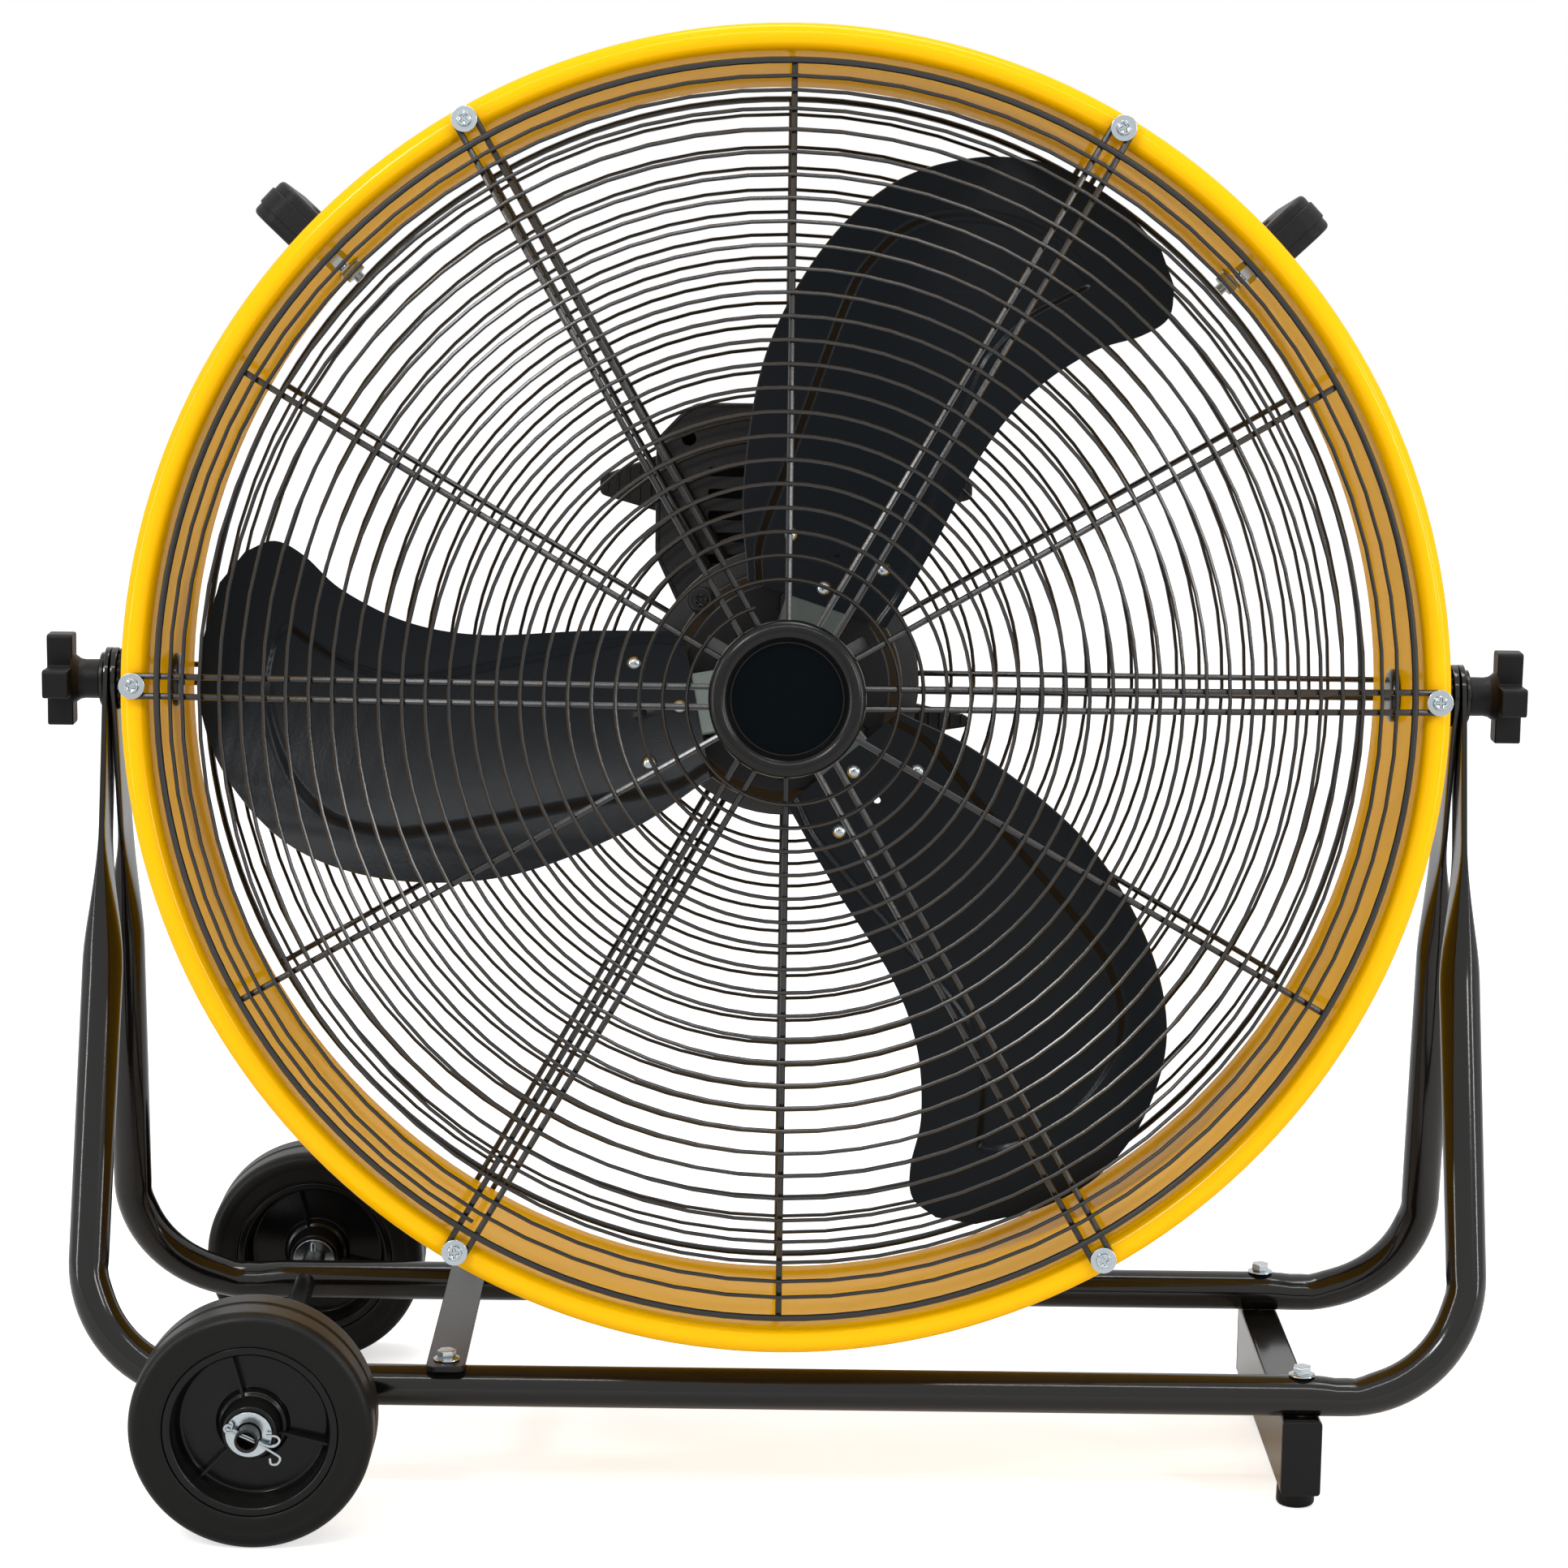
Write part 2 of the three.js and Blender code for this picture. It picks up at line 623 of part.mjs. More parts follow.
// Star knob: a round hub with four flared arms across its outer end.
function clampKnob() {
  const span = KNOB_ARM_SPAN / 2;
  const half = KNOB_ARM_W / 2;
  const outline = range(4).flatMap((i) =>
    [[half, 1 - span], [half - 2, -span], [2 - half, -span], [-half, 1 - span]].map(([x, y]) => {
      const a = degrees(-90 * i);
      return [x * Math.cos(a) - y * Math.sin(a), x * Math.sin(a) + y * Math.cos(a)];
    }),
  );
  const corner = half * 0.85;
  const star = outline.flatMap((point, i) => {
    const a = degrees(-90 * (i >> 2) - 135);
    const inward = [corner * Math.SQRT2 * Math.cos(a), corner * Math.SQRT2 * Math.sin(a)];
    return i % 4 === 3 ? [point, inward] : [point];
  });
  const arms = extrude(star, KNOB_ARM_T).rotateY(Math.PI / 2).translate(KNOB_X + KNOB_HUB_L, 0, 0);
  const hub = alongX(
    lathe(
      [
        [0, KNOB_X],
        [KNOB_HUB_R, KNOB_X],
        [KNOB_HUB_R, KNOB_X + KNOB_HUB_L - 3],
        [KNOB_HUB_R + 2, KNOB_X + KNOB_HUB_L + 1],
        [0, KNOB_X + KNOB_HUB_L + 1],
      ],
      16,
    ),
  );
  return cut(fuse(arms, hub), alongX(bore(PIVOT_BOLT_R, KNOB_X - 1, BOLT_END)));
}

for (const [place, turn] of [["right", 0], ["left", 180]]) {
  const side = [0, 0, turn];
  const knobGroup = new THREE.Group();
  knobGroup.position.set(0, 0, PIVOT_HEIGHT);
  fan.add(knobGroup);
  add(knobGroup, `clamp_knob_${place}`, clampKnob().rotate(side), PLASTIC);
  const washer = solid(
    alongX(ring(PIVOT_BOLT_R + FIT, KNOB_WASHER_R, WASHER_X, WASHER_X + KNOB_WASHER_T, 14)),
  );
  add(stand, `knob_washer_${place}`, washer.rotate(side).translate([0, 0, PIVOT_HEIGHT]), ZINC);
  add(drum, `toothed_disc_${place}`, toothedDisc().rotate(side), PLASTIC);
  add(drum, `pivot_bolt_${place}`, pivotBolt().rotate(side), GLOSS_BLACK);
}

// ---------------------------------------------------------------- drum shell and grips
const FRONT_EDGE = -DRUM_LENGTH / 2;
const REAR_EDGE = DRUM_LENGTH / 2;
const BEAD_MID_R = DRUM_R + BEAD_R;
const REAR_BEAD_MID_R = DRUM_R + REAR_BEAD_R;
const SCREW_R = 2;
const GRIP_BOLT_R = 3;

// Rolled sheet: a wired bead at the front, a smaller one behind and a swaged ridge.
function drumShell() {
  const swageY = REAR_EDGE - SWAGE_FROM_REAR;
  const swage = [
    [SHELL_OUT, swageY + SWAGE_HALF_W],
    [SHELL_OUT + SWAGE_H, swageY],
    [SHELL_OUT, swageY - SWAGE_HALF_W],
  ];
  const frontBead = arc(BEAD_MID_R, FRONT_EDGE + BEAD_R, BEAD_R, 140, -180, 6);
  const rearBead = arc(REAR_BEAD_MID_R, REAR_EDGE - REAR_BEAD_R, REAR_BEAD_R, 180, -140, 4);
  const shell = lathe([...frontBead, ...rearBead, ...swage], DRUM_SIDES);
  const pivotHole = alongX(bore(PIVOT_BOLT_R, -2 * DRUM_R, 2 * DRUM_R));
  const screwHoles = spokeAngles(0).map((angle) => {
    const at = polar(BEAD_MID_R, angle);
    return bore(SCREW_R, FRONT_EDGE - 5, 0, 6).translate(at.x, 0, at.z);
  });
  const gripHoles = GRIP_ANGLES.flatMap((angle) =>
    [-1, 1].map((side) => radial(bore(GRIP_BOLT_R, 0, 2 * DRUM_R, 6), angle, side * GRIP_BOLT_Y)),
  );
  return cut(shell, pivotHole, ...screwHoles, ...gripHoles);
}

// Turns a piece made along Y so that it points out of the drum at an angle.
function radial(geometry, angle, y) {
  return alongX(geometry).rotateY(-degrees(angle)).translate(0, y, 0);
}

function spokeAngles(first) {
  return range(6).map((i) => degrees(first + 60 * i));
}

add(drum, "drum_shell", drumShell(), YELLOW);

// Moulded carry grip: two feet on the sheet and a bar with a hand gap under it.
function grip(angle) {
  const half = GRIP_L / 2;
  const foot = SHELL_OUT + SEAT;
  const under = GRIP_OUTER_R - GRIP_BAR;
  const gapHalf = half - GRIP_FOOT;
  const outline = [
    [foot, -half],
    [GRIP_OUTER_R - 6, -half + 3],
    [GRIP_OUTER_R, -half + 10],
    [GRIP_OUTER_R, half - 10],
    [GRIP_OUTER_R - 6, half - 3],
    [foot, half],
    [foot, gapHalf],
    [under - 8, gapHalf],
    [under, gapHalf - 8],
    [under, -gapHalf + 8],
    [under - 8, -gapHalf],
    [foot, -gapHalf],
  ];
  const shape = new THREE.Shape(outline.map(([r, y]) => v2(r, y)));
  const bevel = 2;
  const body = new THREE.ExtrudeGeometry(shape, {
    depth: GRIP_W - 2 * bevel,
    bevelThickness: bevel,
    bevelSize: bevel,
    bevelOffset: -bevel,
    bevelSegments: 1,
  });
  body.translate(0, 0, bevel - GRIP_W / 2);
  const holes = [-1, 1].map((side) =>
    alongX(bore(GRIP_BOLT_R, 0, foot + 22, 6)).translate(0, side * GRIP_BOLT_Y, 0),
  );
  return cut(body, ...holes).rotate([0, -angle, 0]);
}

// A grip bolt: its nut is inside the drum and its shank ends in the grip's foot.
function gripBolt(angle, y) {
  const nutTop = INNER_FLAT_R - SEAT;
  const nut = rod(GRIP_BOLT_R * 1.9, nutTop - 5.4, nutTop, 6);
  const shank = rod(GRIP_BOLT_R, nutTop - 8.4, SHELL_OUT + 20, 6);
  return fuse(radial(nut, angle, y), radial(shank, angle, y));
}

for (const [place, angle] of [["right", GRIP_ANGLES[0]], ["left", GRIP_ANGLES[1]]]) {
  add(drum, `grip_${place}`, grip(angle), PLASTIC);
  add(drum, `grip_bolt_${place}_front`, gripBolt(angle, -GRIP_BOLT_Y), ZINC);
  add(drum, `grip_bolt_${place}_rear`, gripBolt(angle, GRIP_BOLT_Y), ZINC);
}

// ---------------------------------------------------------------- guards
const SPOKE_Y = DRUM_LENGTH / 2 + SPOKE_R + SEAT;

// How far out of the drum's middle a guard's spokes lie at a radius.
const guardDepth = (radius, rise) => SPOKE_Y + rise * (1 - (Math.min(radius, RING_R) / RING_R) ** 2);

// Two wires bent into one loop: its round end lies on the bead, round the screw.
function loopedSpoke(angle, { face, rise, loopR, steps }, inner) {
  const half = SPOKE_PAIR / 2;
  const radii = range(steps + 1).map((i) => THREE.MathUtils.lerp(inner, RING_R, i / steps));
  const leg = [...radii, loopR].map((r) => [r, half]);
  const back = leg.toReversed().map(([r]) => [r, -half]);
  const path = [...leg, ...arc(loopR, 0, half, 60, -60, 2), ...back];
  const out = polar(1, angle);
  const aside = polar(1, angle + Math.PI / 2);
  const stations = path.map(([r, w]) =>
    out
      .clone()
      .multiplyScalar(r)
      .addScaledVector(aside, w)
      .setY(face * guardDepth(r, rise)),
  );
  return wire(stations, SPOKE_R, WIRE_SIDES);
}

function singleSpoke(angle, { face, rise, steps }, inner) {
  const stations = range(steps + 1).map((i) => {
    const r = THREE.MathUtils.lerp(inner, RING_R, i / steps);
    return polar(r, angle, face * guardDepth(r, rise));
  });
  return wire(stations, SPOKE_R, WIRE_SIDES);
}

// Outer ring, six looped and six single spokes, welded to a ring in the middle.
function guardFrame(guard, hubInner, hubOuter) {
  const { face, rise } = guard;
  const weld = 0.8;
  const outerRing = new THREE.TorusGeometry(RING_R, RING_WIRE_R, WIRE_SIDES, 36);
  outerRing.rotateX(Math.PI / 2).translate(0, face * (SPOKE_Y + SPOKE_R + RING_WIRE_R - weld), 0);
  const inner = (hubInner + hubOuter) / 2;
  const hubY = face * guardDepth(inner, rise);
  const hub = ring(hubInner, hubOuter, hubY - PLATE / 2, hubY + PLATE / 2, 24);
  return fuse(
    outerRing,
    hub,
    ...spokeAngles(0).map((angle) => loopedSpoke(angle, guard, inner)),
    ...spokeAngles(30).map((angle) => singleSpoke(angle, guard, inner)),
  );
}

// One wire wound inwards over the spokes. Its pitch opens up from the rim.
function spiralRadius(turns, pitch) {
  const eased = SPIRAL_TIGHT * SPIRAL_EASE * (1 - Math.exp(-turns / SPIRAL_EASE));
  return RING_R - SPIRAL_START_GAP - pitch * (turns - eased);
}

function guardSpiral({ face, rise }, pitch, innerR, coarseBelow) {
  const fine = 24; // steps in a turn, so that each spoke is crossed at a station
  const coarse = 12; // steps in a turn near the middle
  const lift = SPOKE_R + SEAT + SPIRAL_WIRE_R;
  const stations = [];
  let turns = 0;
  while (spiralRadius(turns, pitch) > innerR) {
    const r = spiralRadius(turns, pitch);
    const angle = turns === 0 ? SPIRAL_START : degrees(240) - 2 * Math.PI * turns;
    stations.push(polar(r, angle, face * (guardDepth(r, rise) + lift)));
    turns += 1 / (r > coarseBelow || Math.round(turns * fine) % 2 ? fine : coarse);
  }
  return wire(stations, SPIRAL_WIRE_R, WIRE_SIDES);
}

const FRONT_GUARD = { face: -1, rise: FRONT_RISE, loopR: BEAD_MID_R, steps: 4 };
const REAR_GUARD = { face: 1, rise: REAR_RISE, loopR: REAR_BEAD_MID_R, steps: 2 };
add(drum, "front_guard", guardFrame(FRONT_GUARD, GUARD_HUB_INNER_R, GUARD_HUB_R), WIRE_BLACK);
add(
  drum,
  "front_guard_spiral",
  guardSpiral(FRONT_GUARD, FRONT_PITCH, FRONT_SPIRAL_INNER_R, 140),
  WIRE_BLACK,
);
add(drum, "rear_guard", guardFrame(REAR_GUARD, MOTOR_PLATE_HOLE_R, MOTOR_PLATE_R), WIRE_BLACK);
add(
  drum,
  "rear_guard_spiral",
  guardSpiral(REAR_GUARD, REAR_PITCH, REAR_SPIRAL_INNER_R, 220),
  WIRE_BLACK,
);

// Guard screw: pan head and washer on the loop, shank through the bead.
function guardScrew() {
  const washerT = 1.2;
  const profile = [
    [0, -BEAD_R * 2 - 2],
    [SCREW_R, -BEAD_R * 2 - 2],
    [SCREW_R, 0],
    [6.6, 0],
    [6.6, washerT],
    [3.9, washerT],
    [3.4, washerT + 2.2],
    [0, washerT + 2.9],
  ];
  return lathe(profile, 8);
}

spokeAngles(0).forEach((angle, i) => {
  const at = polar(BEAD_MID_R, angle, -(SPOKE_Y + SPOKE_R + SEAT));
  const screw = guardScrew().rotateX(Math.PI).translate(at.x, at.y, at.z);
  add(drum, `guard_screw_${i + 1}`, screw, ZINC);
});

// Centre cap: a round moulding with a recessed flat face.
function centreCap() {
  const back = guardDepth(GUARD_HUB_INNER_R, FRONT_RISE) + PLATE / 2 + SEAT;
  const bulge = (CAP_R - CAP_RECESS_R - 1) / 2;
  const profile = [
    [0, back],
    [CAP_R - 1, back],
    [CAP_R, back + 1],
    ...arc(CAP_R - bulge, back + CAP_DEPTH - bulge, bulge, 0, 180, 4),
    [CAP_RECESS_R, back + CAP_DEPTH - CAP_RECESS],
    [0, back + CAP_DEPTH - CAP_RECESS],
  ];
  return lathe(profile, 24).rotateX(Math.PI);
}
add(drum, "centre_cap", centreCap(), PLASTIC);

// ---------------------------------------------------------------- rotor
// The stamped surface: pitched across the blade, and steeper towards the trailing edge.
const bladeY = (w) => HUB_Y - BLADE_SLOPE * w - BLADE_CAMBER * w * w;

// A plate bent to the stamped surface from rows of points across it. Each point has its place
// along and across the blade, and how far it stands out in front of the surface.
function bentPlate(rows, thickness, offset) {
  const lanes = rows[0].length - 1;
  const spans = rows.length - 1;
  const geometry = new THREE.BoxGeometry(1, 1, 1, spans, 1, lanes);
  const place = geometry.getAttribute("position");
  for (const i of range(place.count)) {
    const row = Math.round((place.getX(i) + 0.5) * spans);
    const lane = Math.round((place.getZ(i) + 0.5) * lanes);
    const { at, raised = 0 } = rows[row][lane];
    const y = bladeY(at.y) + offset - raised + place.getY(i) * thickness;
    place.setXYZ(i, at.x, y, at.y);
  }
  return geometry;
}

// A smooth line through [along, across] points. The points are listed for LISTED_TIP, and are
// stretched along the blade to suit the drum.
const BLADE_STRETCH = (DRUM_R - TIP_GAP - BLADE_ROOT) / (LISTED_TIP - BLADE_ROOT);
const bladeLine = (points) =>
  new THREE.SplineCurve(
    points.map(([u, w]) => v2(BLADE_ROOT + (u - BLADE_ROOT) * BLADE_STRETCH, w)),
  );
const LEADING_EDGE = bladeLine([
  [48, -38], [95, -46], [152, -53], [190, -66], [221, -88], [238, -109], [252, -119], [268, -116],
]);
const TRAILING_EDGE = bladeLine([
  [46, 38], [90, 57], [155, 70], [215, 63], [262, 41], [291, 6], [303, -32], [299, -68], [284, -102],
]);
// the sunk panel's border, outside its sloping step, on both sides up to the round nose
const LEADING_BORDER = bladeLine([
  [48, -36], [70, -41], [105, -41], [182, -39], [204, -43], [225, -54], [240, -67], [253, -77],
]);
const TRAILING_BORDER = bladeLine([
  [46, 36], [66, 43], [105, 44], [195, 45], [225, 40], [250, 26], [266, 0], [272, -35], [265, -64],
]);

// A point moved off a line, to its left where the distance is positive.
function beside(line, t, distance) {
  const tangent = line.getTangentAt(t);
  return line.getPointAt(t).add(v2(-tangent.y, tangent.x).multiplyScalar(distance));
}

// Rows across the blade, from the root to the tip: the rim stands out, the panel lies between.
function bladeRows() {
  const blend = (from, to, count) => range(count).map((i) => from.clone().lerp(to, i / (count - 1)));
  return range(BLADE_ROWS).map((row) => {
    const t = row / (BLADE_ROWS - 1);
    const edges = [LEADING_EDGE.getPointAt(t), TRAILING_EDGE.getPointAt(t)];
    const onBorder = Math.min(row / (BLADE_ROWS - 2), 1);
    const onPanel = Math.min(row / (BLADE_ROWS - 3), 1);
    const borders = [LEADING_BORDER.getPointAt(onBorder), TRAILING_BORDER.getPointAt(onBorder)];
    const panel = [
      beside(LEADING_BORDER, onPanel, PANEL_STEP_W),
      beside(TRAILING_BORDER, onPanel, -PANEL_STEP_W),
    ];
    const raise = (points) => points.map((at) => ({ at, raised: PANEL_DEPTH }));
    if (row === BLADE_ROWS - 1) return raise(blend(...edges, 7));
    if (row === BLADE_ROWS - 2) return raise([edges[0], ...blend(...borders, 5), edges[1]]);
    return [
      ...raise([edges[0], borders[0]]),
      ...blend(...panel, 3).map((at) => ({ at })),
      ...raise([borders[1], edges[1]]),
    ];
  });
}

// A blade with its three rivets, along +X.
function blade() {
  const plate = bentPlate(bladeRows(), BLADE_T, 0);
  const pilotHole = rod(PILOT_HOLE_R, HUB_Y - HUB_REACH, HUB_Y + HUB_REACH, 6);
  pilotHole.translate(PILOT_HOLE_U, 0, 0);
  const rivets = RIVETS.map(([u, w]) => {
    const y = bladeY(w);
    const lean = Math.abs(BLADE_SLOPE + 2 * BLADE_CAMBER * w) * RIVET_HEAD_R;
    const crown = y - lean - BLADE_T / 2;
    const tail = y + BLADE_T + SPIDER_T + 2 * SEAT + lean + 1;
    const rivet = lathe(
      [
        [0, crown - 1.6],
        [RIVET_HEAD_R * 0.7, crown - 0.8],
        [RIVET_HEAD_R, y - lean / 2],
        [RIVET_R, y],
        [RIVET_R, tail],
        [0, tail],
      ],
      8,
    );
    return rivet.translate(u, 0, w);
  });
  return cut(fuse(plate, ...rivets), pilotHole);
}

BLADE_ANGLES.forEach((angle, i) => {
  add(rotor, `blade_${i + 1}`, blade().rotate([0, -angle, 0]), BLADE_BLACK);
});

// Hub spider: a boss with three arms that lie behind the blade roots.
function hubSpider() {
  // the arms follow the blades in fewer flats, so they need a little more room
  const offset = (BLADE_T + SPIDER_T) / 2 + SEAT + 0.5;
  const armRows = [[10, 22], [50, 33], [84, 34]].map(([u, half]) =>
    [-half, 0, half].map((w) => ({ at: v2(u, w) })),
  );
  const arms = BLADE_ANGLES.map((angle) => {
    const holes = RIVETS.map(([u, w]) =>
      bore(RIVET_R, HUB_Y - HUB_REACH, HUB_Y + HUB_REACH, 6).translate(u, 0, w),
    );
    return cut(bentPlate(armRows, SPIDER_T, offset), ...holes).rotate([0, -angle, 0]);
  });
  const boss = rod(SPIDER_BOSS_R, HUB_FRONT, HUB_FRONT + SPIDER_BOSS_L, 16);
  return cut(fuse(boss, ...arms), bore(SHAFT_R, HUB_Y - HUB_REACH, HUB_Y + HUB_REACH));
}
add(rotor, "hub_spider", hubSpider(), ZINC);

// ---------------------------------------------------------------- motor
const MOTOR_PLATE_Y = guardDepth((MOTOR_PLATE_HOLE_R + MOTOR_PLATE_R) / 2, REAR_RISE);
// the rear bell lies on the plate, and its bearing boss stands in the plate's hole
const MOTOR_REAR = MOTOR_PLATE_Y - PLATE / 2 - SEAT + BELL_NOSE;
const STATOR_FROM = MOTOR_FRONT + BELL_L + SEAT;
const STATOR_TO = MOTOR_REAR - BELL_NOSE - BELL_L - SEAT;

// Shaft with the squirrel-cage rotor on it and a nut in front of the hub.
function motorShaft() {
  const nutY = HUB_FRONT - SEAT;
  return fuse(
    rod(SHAFT_R, nutY - 12, MOTOR_REAR - 2, 12),
    rod(SHAFT_R * 1.7, nutY - 7, nutY, 6),
    rod(ROTOR_R, STATOR_FROM + 3, STATOR_TO - 3, 16),
  );
}
add(rotor, "motor_shaft", motorShaft(), STEEL);

// A cup-shaped end bell with cooling slots in its face, open towards +Y.
function endBell(slots) {
  const faceT = MOTOR_WALL + 1;
  const boreR = SHAFT_R + 2 * FIT;
  const profile = [
    [boreR, -BELL_NOSE],
    [BEARING_R, -BELL_NOSE],
    [BEARING_R + 3, 0],
    [MOTOR_R - BELL_SHOULDER, 0],
    [MOTOR_R, BELL_SHOULDER],
    [MOTOR_R, BELL_L],
    [MOTOR_R - MOTOR_WALL, BELL_L],
    [MOTOR_R - MOTOR_WALL, faceT],
    [BEARING_R, faceT],
    [BEARING_R, BEARING_L],
    [boreR, BEARING_L],
  ];
  const cuts = range(slots).map((i) => {
    const slot = new THREE.BoxGeometry(2 * MOTOR_WALL + BELL_SHOULDER, 3 * MOTOR_WALL, 7);
    return slot.translate(MOTOR_R - 20, 0, 0).rotateY((2 * Math.PI * (i + 0.5)) / slots);
  });
  return cut(lathe(profile, 20), ...cuts);
}

// The front bell has four lugs with the long screws that hold the motor together.
function frontBell() {
  const lugFrom = 6;
  const lug = fuse(
    rod(LUG_R, lugFrom, lugFrom + LUG_L, 6),
    rod(LUG_R - 1.5, lugFrom - 1.5, lugFrom + 0.1, 8),
    rod(LUG_R - 3.5, lugFrom - 4, lugFrom - 1.4, 6),
  );
  const lugs = [45, 135, 225, 315].map((angle) => {
    const { x, z } = polar(MOTOR_R + 2, degrees(angle));
    return lug.translate([x, 0, z]);
  });
  return fuse(endBell(6), ...lugs).translate([0, MOTOR_FRONT, 0]);
}
add(drum, "motor_front_bell", frontBell(), GLOSS_BLACK);
add(
  drum,
  "motor_stator",
  ring(ROTOR_R + 1, MOTOR_R - 1, STATOR_FROM, STATOR_TO, 20),
  STEEL,
);
add(
  drum,
  "motor_rear_bell",
  endBell(0).rotate([180, 0, 0]).translate([0, MOTOR_REAR - BELL_NOSE, 0]),
  GLOSS_BLACK,
);

// ---------------------------------------------------------------- control box
const BOX_FRONT = MOTOR_PLATE_Y + PLATE / 2 + SPOKE_R + SPIRAL_WIRE_R * 2 + 2;
const BOX_BACK = BOX_FRONT + BOX_DEPTH;
const BOX_MID_Y = (BOX_FRONT + BOX_BACK) / 2;

// Outline of the housing, seen along the fan's axis: straight sides, a round top and a tapered foot.
function boxOutline(inset) {
  const w = BOX_HALF_W - inset;
  const corner = BOX_CORNER - inset;
  const top = BOX_TOP - inset;
  const waist = BOX_BOTTOM + BOX_CORNER;
  return [
    ...arc(w - corner, top - corner, corner, 0, 90, 3),
    ...arc(corner - w, top - corner, corner, 90, 180, 3),
    [-w, waist],
    [-w * BOX_FOOT_SHARE, BOX_BOTTOM + inset],
    [w * BOX_FOOT_SHARE, BOX_BOTTOM + inset],
    [w, waist],
  ];
}

// Stands an outline drawn in X and Z up, with its depth along +Y from a place.
const upright = (outline, depth, from) =>
  extrude(outline, depth).rotateX(Math.PI / 2).translate(0, from + depth, 0);

// An outline given on the right and mirrored to the left.
const mirrored = (right) => [...right, ...right.toReversed().map(([x, z]) => [-x, z])];

// Ears that a cord is wound round, one pair at the top of the housing and one at the foot.
function cordEars() {
  const root = BOX_HALF_W - 4;
  const tip = BOX_HALF_W + EAR_L;
  return [[108, 17], [-22, 10]].map(([z, half]) =>
    upright(
      mirrored([[root, z - half], [tip, z - half * 0.4], [tip, z + half * 0.2], [root, z + half]]),
      EAR_T,
      BOX_BACK - EAR_T,
    ),
  );
}

// Moulded housing behind the rear guard: vented towards the fan, with ears for winding a cord.
function controlBox() {
  const shell = upright(boxOutline(0), BOX_DEPTH, BOX_FRONT);
  const hollow = upright(boxOutline(BOX_WALL), BOX_DEPTH - 2 * BOX_WALL, BOX_FRONT + BOX_WALL);
  // the lower ears stand on a plate that goes down behind the motor
  const backPlate = upright(
    mirrored([[58, -34], [BOX_HALF_W, -22], [BOX_HALF_W, 10], [58, 40]]),
    EAR_T - 2,
    BOX_BACK - EAR_T + 1,
  );
  const feet = [[42, BOX_BOTTOM + 17], [48, -32]].flatMap(([x, z]) =>
    [-x, x].map((across) => {
      const foot = rod(FOOT_PILLAR_R, MOTOR_PLATE_Y + PLATE / 2 + SEAT, BOX_BACK - BOX_WALL - 1, 12);
      return foot.translate(across, 0, z);
    }),
  );
  const vents = range(5).map((i) => {
    const vent = new THREE.BoxGeometry(BOX_HALF_W - 12, 3 * BOX_WALL, 5);
    return vent.translate(0, BOX_FRONT + BOX_WALL / 2, BOX_BOTTOM + 32 + 12 * i);
  });
  const spindleHole = bore(SPINDLE_R, BOX_BACK - 3 * BOX_WALL, BOX_BACK + 5);
  spindleHole.translate(0, 0, KNOB_HEIGHT);
  const glandHole = alongZ(bore(GLAND_R, 0, BOX_BOTTOM + 3 * BOX_WALL)).translate(0, BOX_MID_Y, 0);
  const body = cut(fuse(shell, backPlate, ...cordEars()), hollow);
  return cut(fuse(body, ...feet), ...vents, spindleHole, glandHole);
}
add(drum, "control_box", controlBox(), PLASTIC);

// Speed knob with a pointer rib and its spindle.
function speedKnob() {
  const base = BOX_BACK + SEAT;
  const top = base + SPEED_KNOB_L;
  const body = lathe(
    [
      [0, base],
      [SPEED_KNOB_R, base],
      [SPEED_KNOB_R, base + 3],
      [SPEED_KNOB_R - 3, base + 5],
      [SPEED_KNOB_R - 5, top],
      [0, top],
    ],
    16,
  );
  const pointer = new THREE.BoxGeometry(5, 8, 2 * SPEED_KNOB_R - 4).translate(0, top - 3, 0);
  const spindle = rod(SPINDLE_R, BOX_BACK - BOX_WALL - 4, base + 1, 8);
  return fuse(body, pointer, spindle);
}
const speedKnobGroup = new THREE.Group();
speedKnobGroup.position.set(0, 0, KNOB_HEIGHT);
drum.add(speedKnobGroup);
add(speedKnobGroup, "speed_knob", speedKnob(), PLASTIC);

// Cord inlet: a gland nut in the floor of the control box.
function cordGland() {
  const floor = BOX_BOTTOM - SEAT;
  const gland = lathe(
    [
      [GLAND_BORE_R, floor - GLAND_L],
      [GLAND_R + 1, floor - GLAND_L],
      [GLAND_R + 3, floor - GLAND_L + 4],
      [GLAND_R + 3, floor],
      [GLAND_R, floor],
      [GLAND_R, BOX_BOTTOM + BOX_WALL + 4],
      [GLAND_BORE_R, BOX_BOTTOM + BOX_WALL + 4],
    ],
    12,
  );
  return alongZ(gland).translate(0, BOX_MID_Y, 0);
}
add(drum, "cord_gland", cordGland(), PLASTIC);

// Run capacitor, clipped to the back wall inside the box.
function runCapacitor() {
  const [width, depth, height] = [18, 16, 44];
  const block = new THREE.BoxGeometry(width, depth, height);
  return block.translate(BOX_HALF_W - 28, BOX_BACK - BOX_WALL - SEAT - depth / 2, KNOB_HEIGHT - 12);
}
add(drum, "run_capacitor", runCapacitor(), PLASTIC);

export default fan;
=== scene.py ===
# %% [markdown]
# # A drum fan on a wheeled stand
# The fan is a short steel duct with a wire guard on each face. A motor on the rear guard turns
# three swept blades, and the duct tilts between two bent tubes that stand on wheels and a foot bar.
# The sizes come from a finished solid model, which is loaded first as a fixed frame. Every visible
# piece is then modelled again, rounder and finer, in the same place. Lengths in the modelling
# cells are millimetres, as on a drawing, and each piece is brought to metres when it is finished.

# %% Load the frame
import math

import bmesh
import bpy
from mathutils import Matrix, Vector
from mathutils.kdtree import KDTree


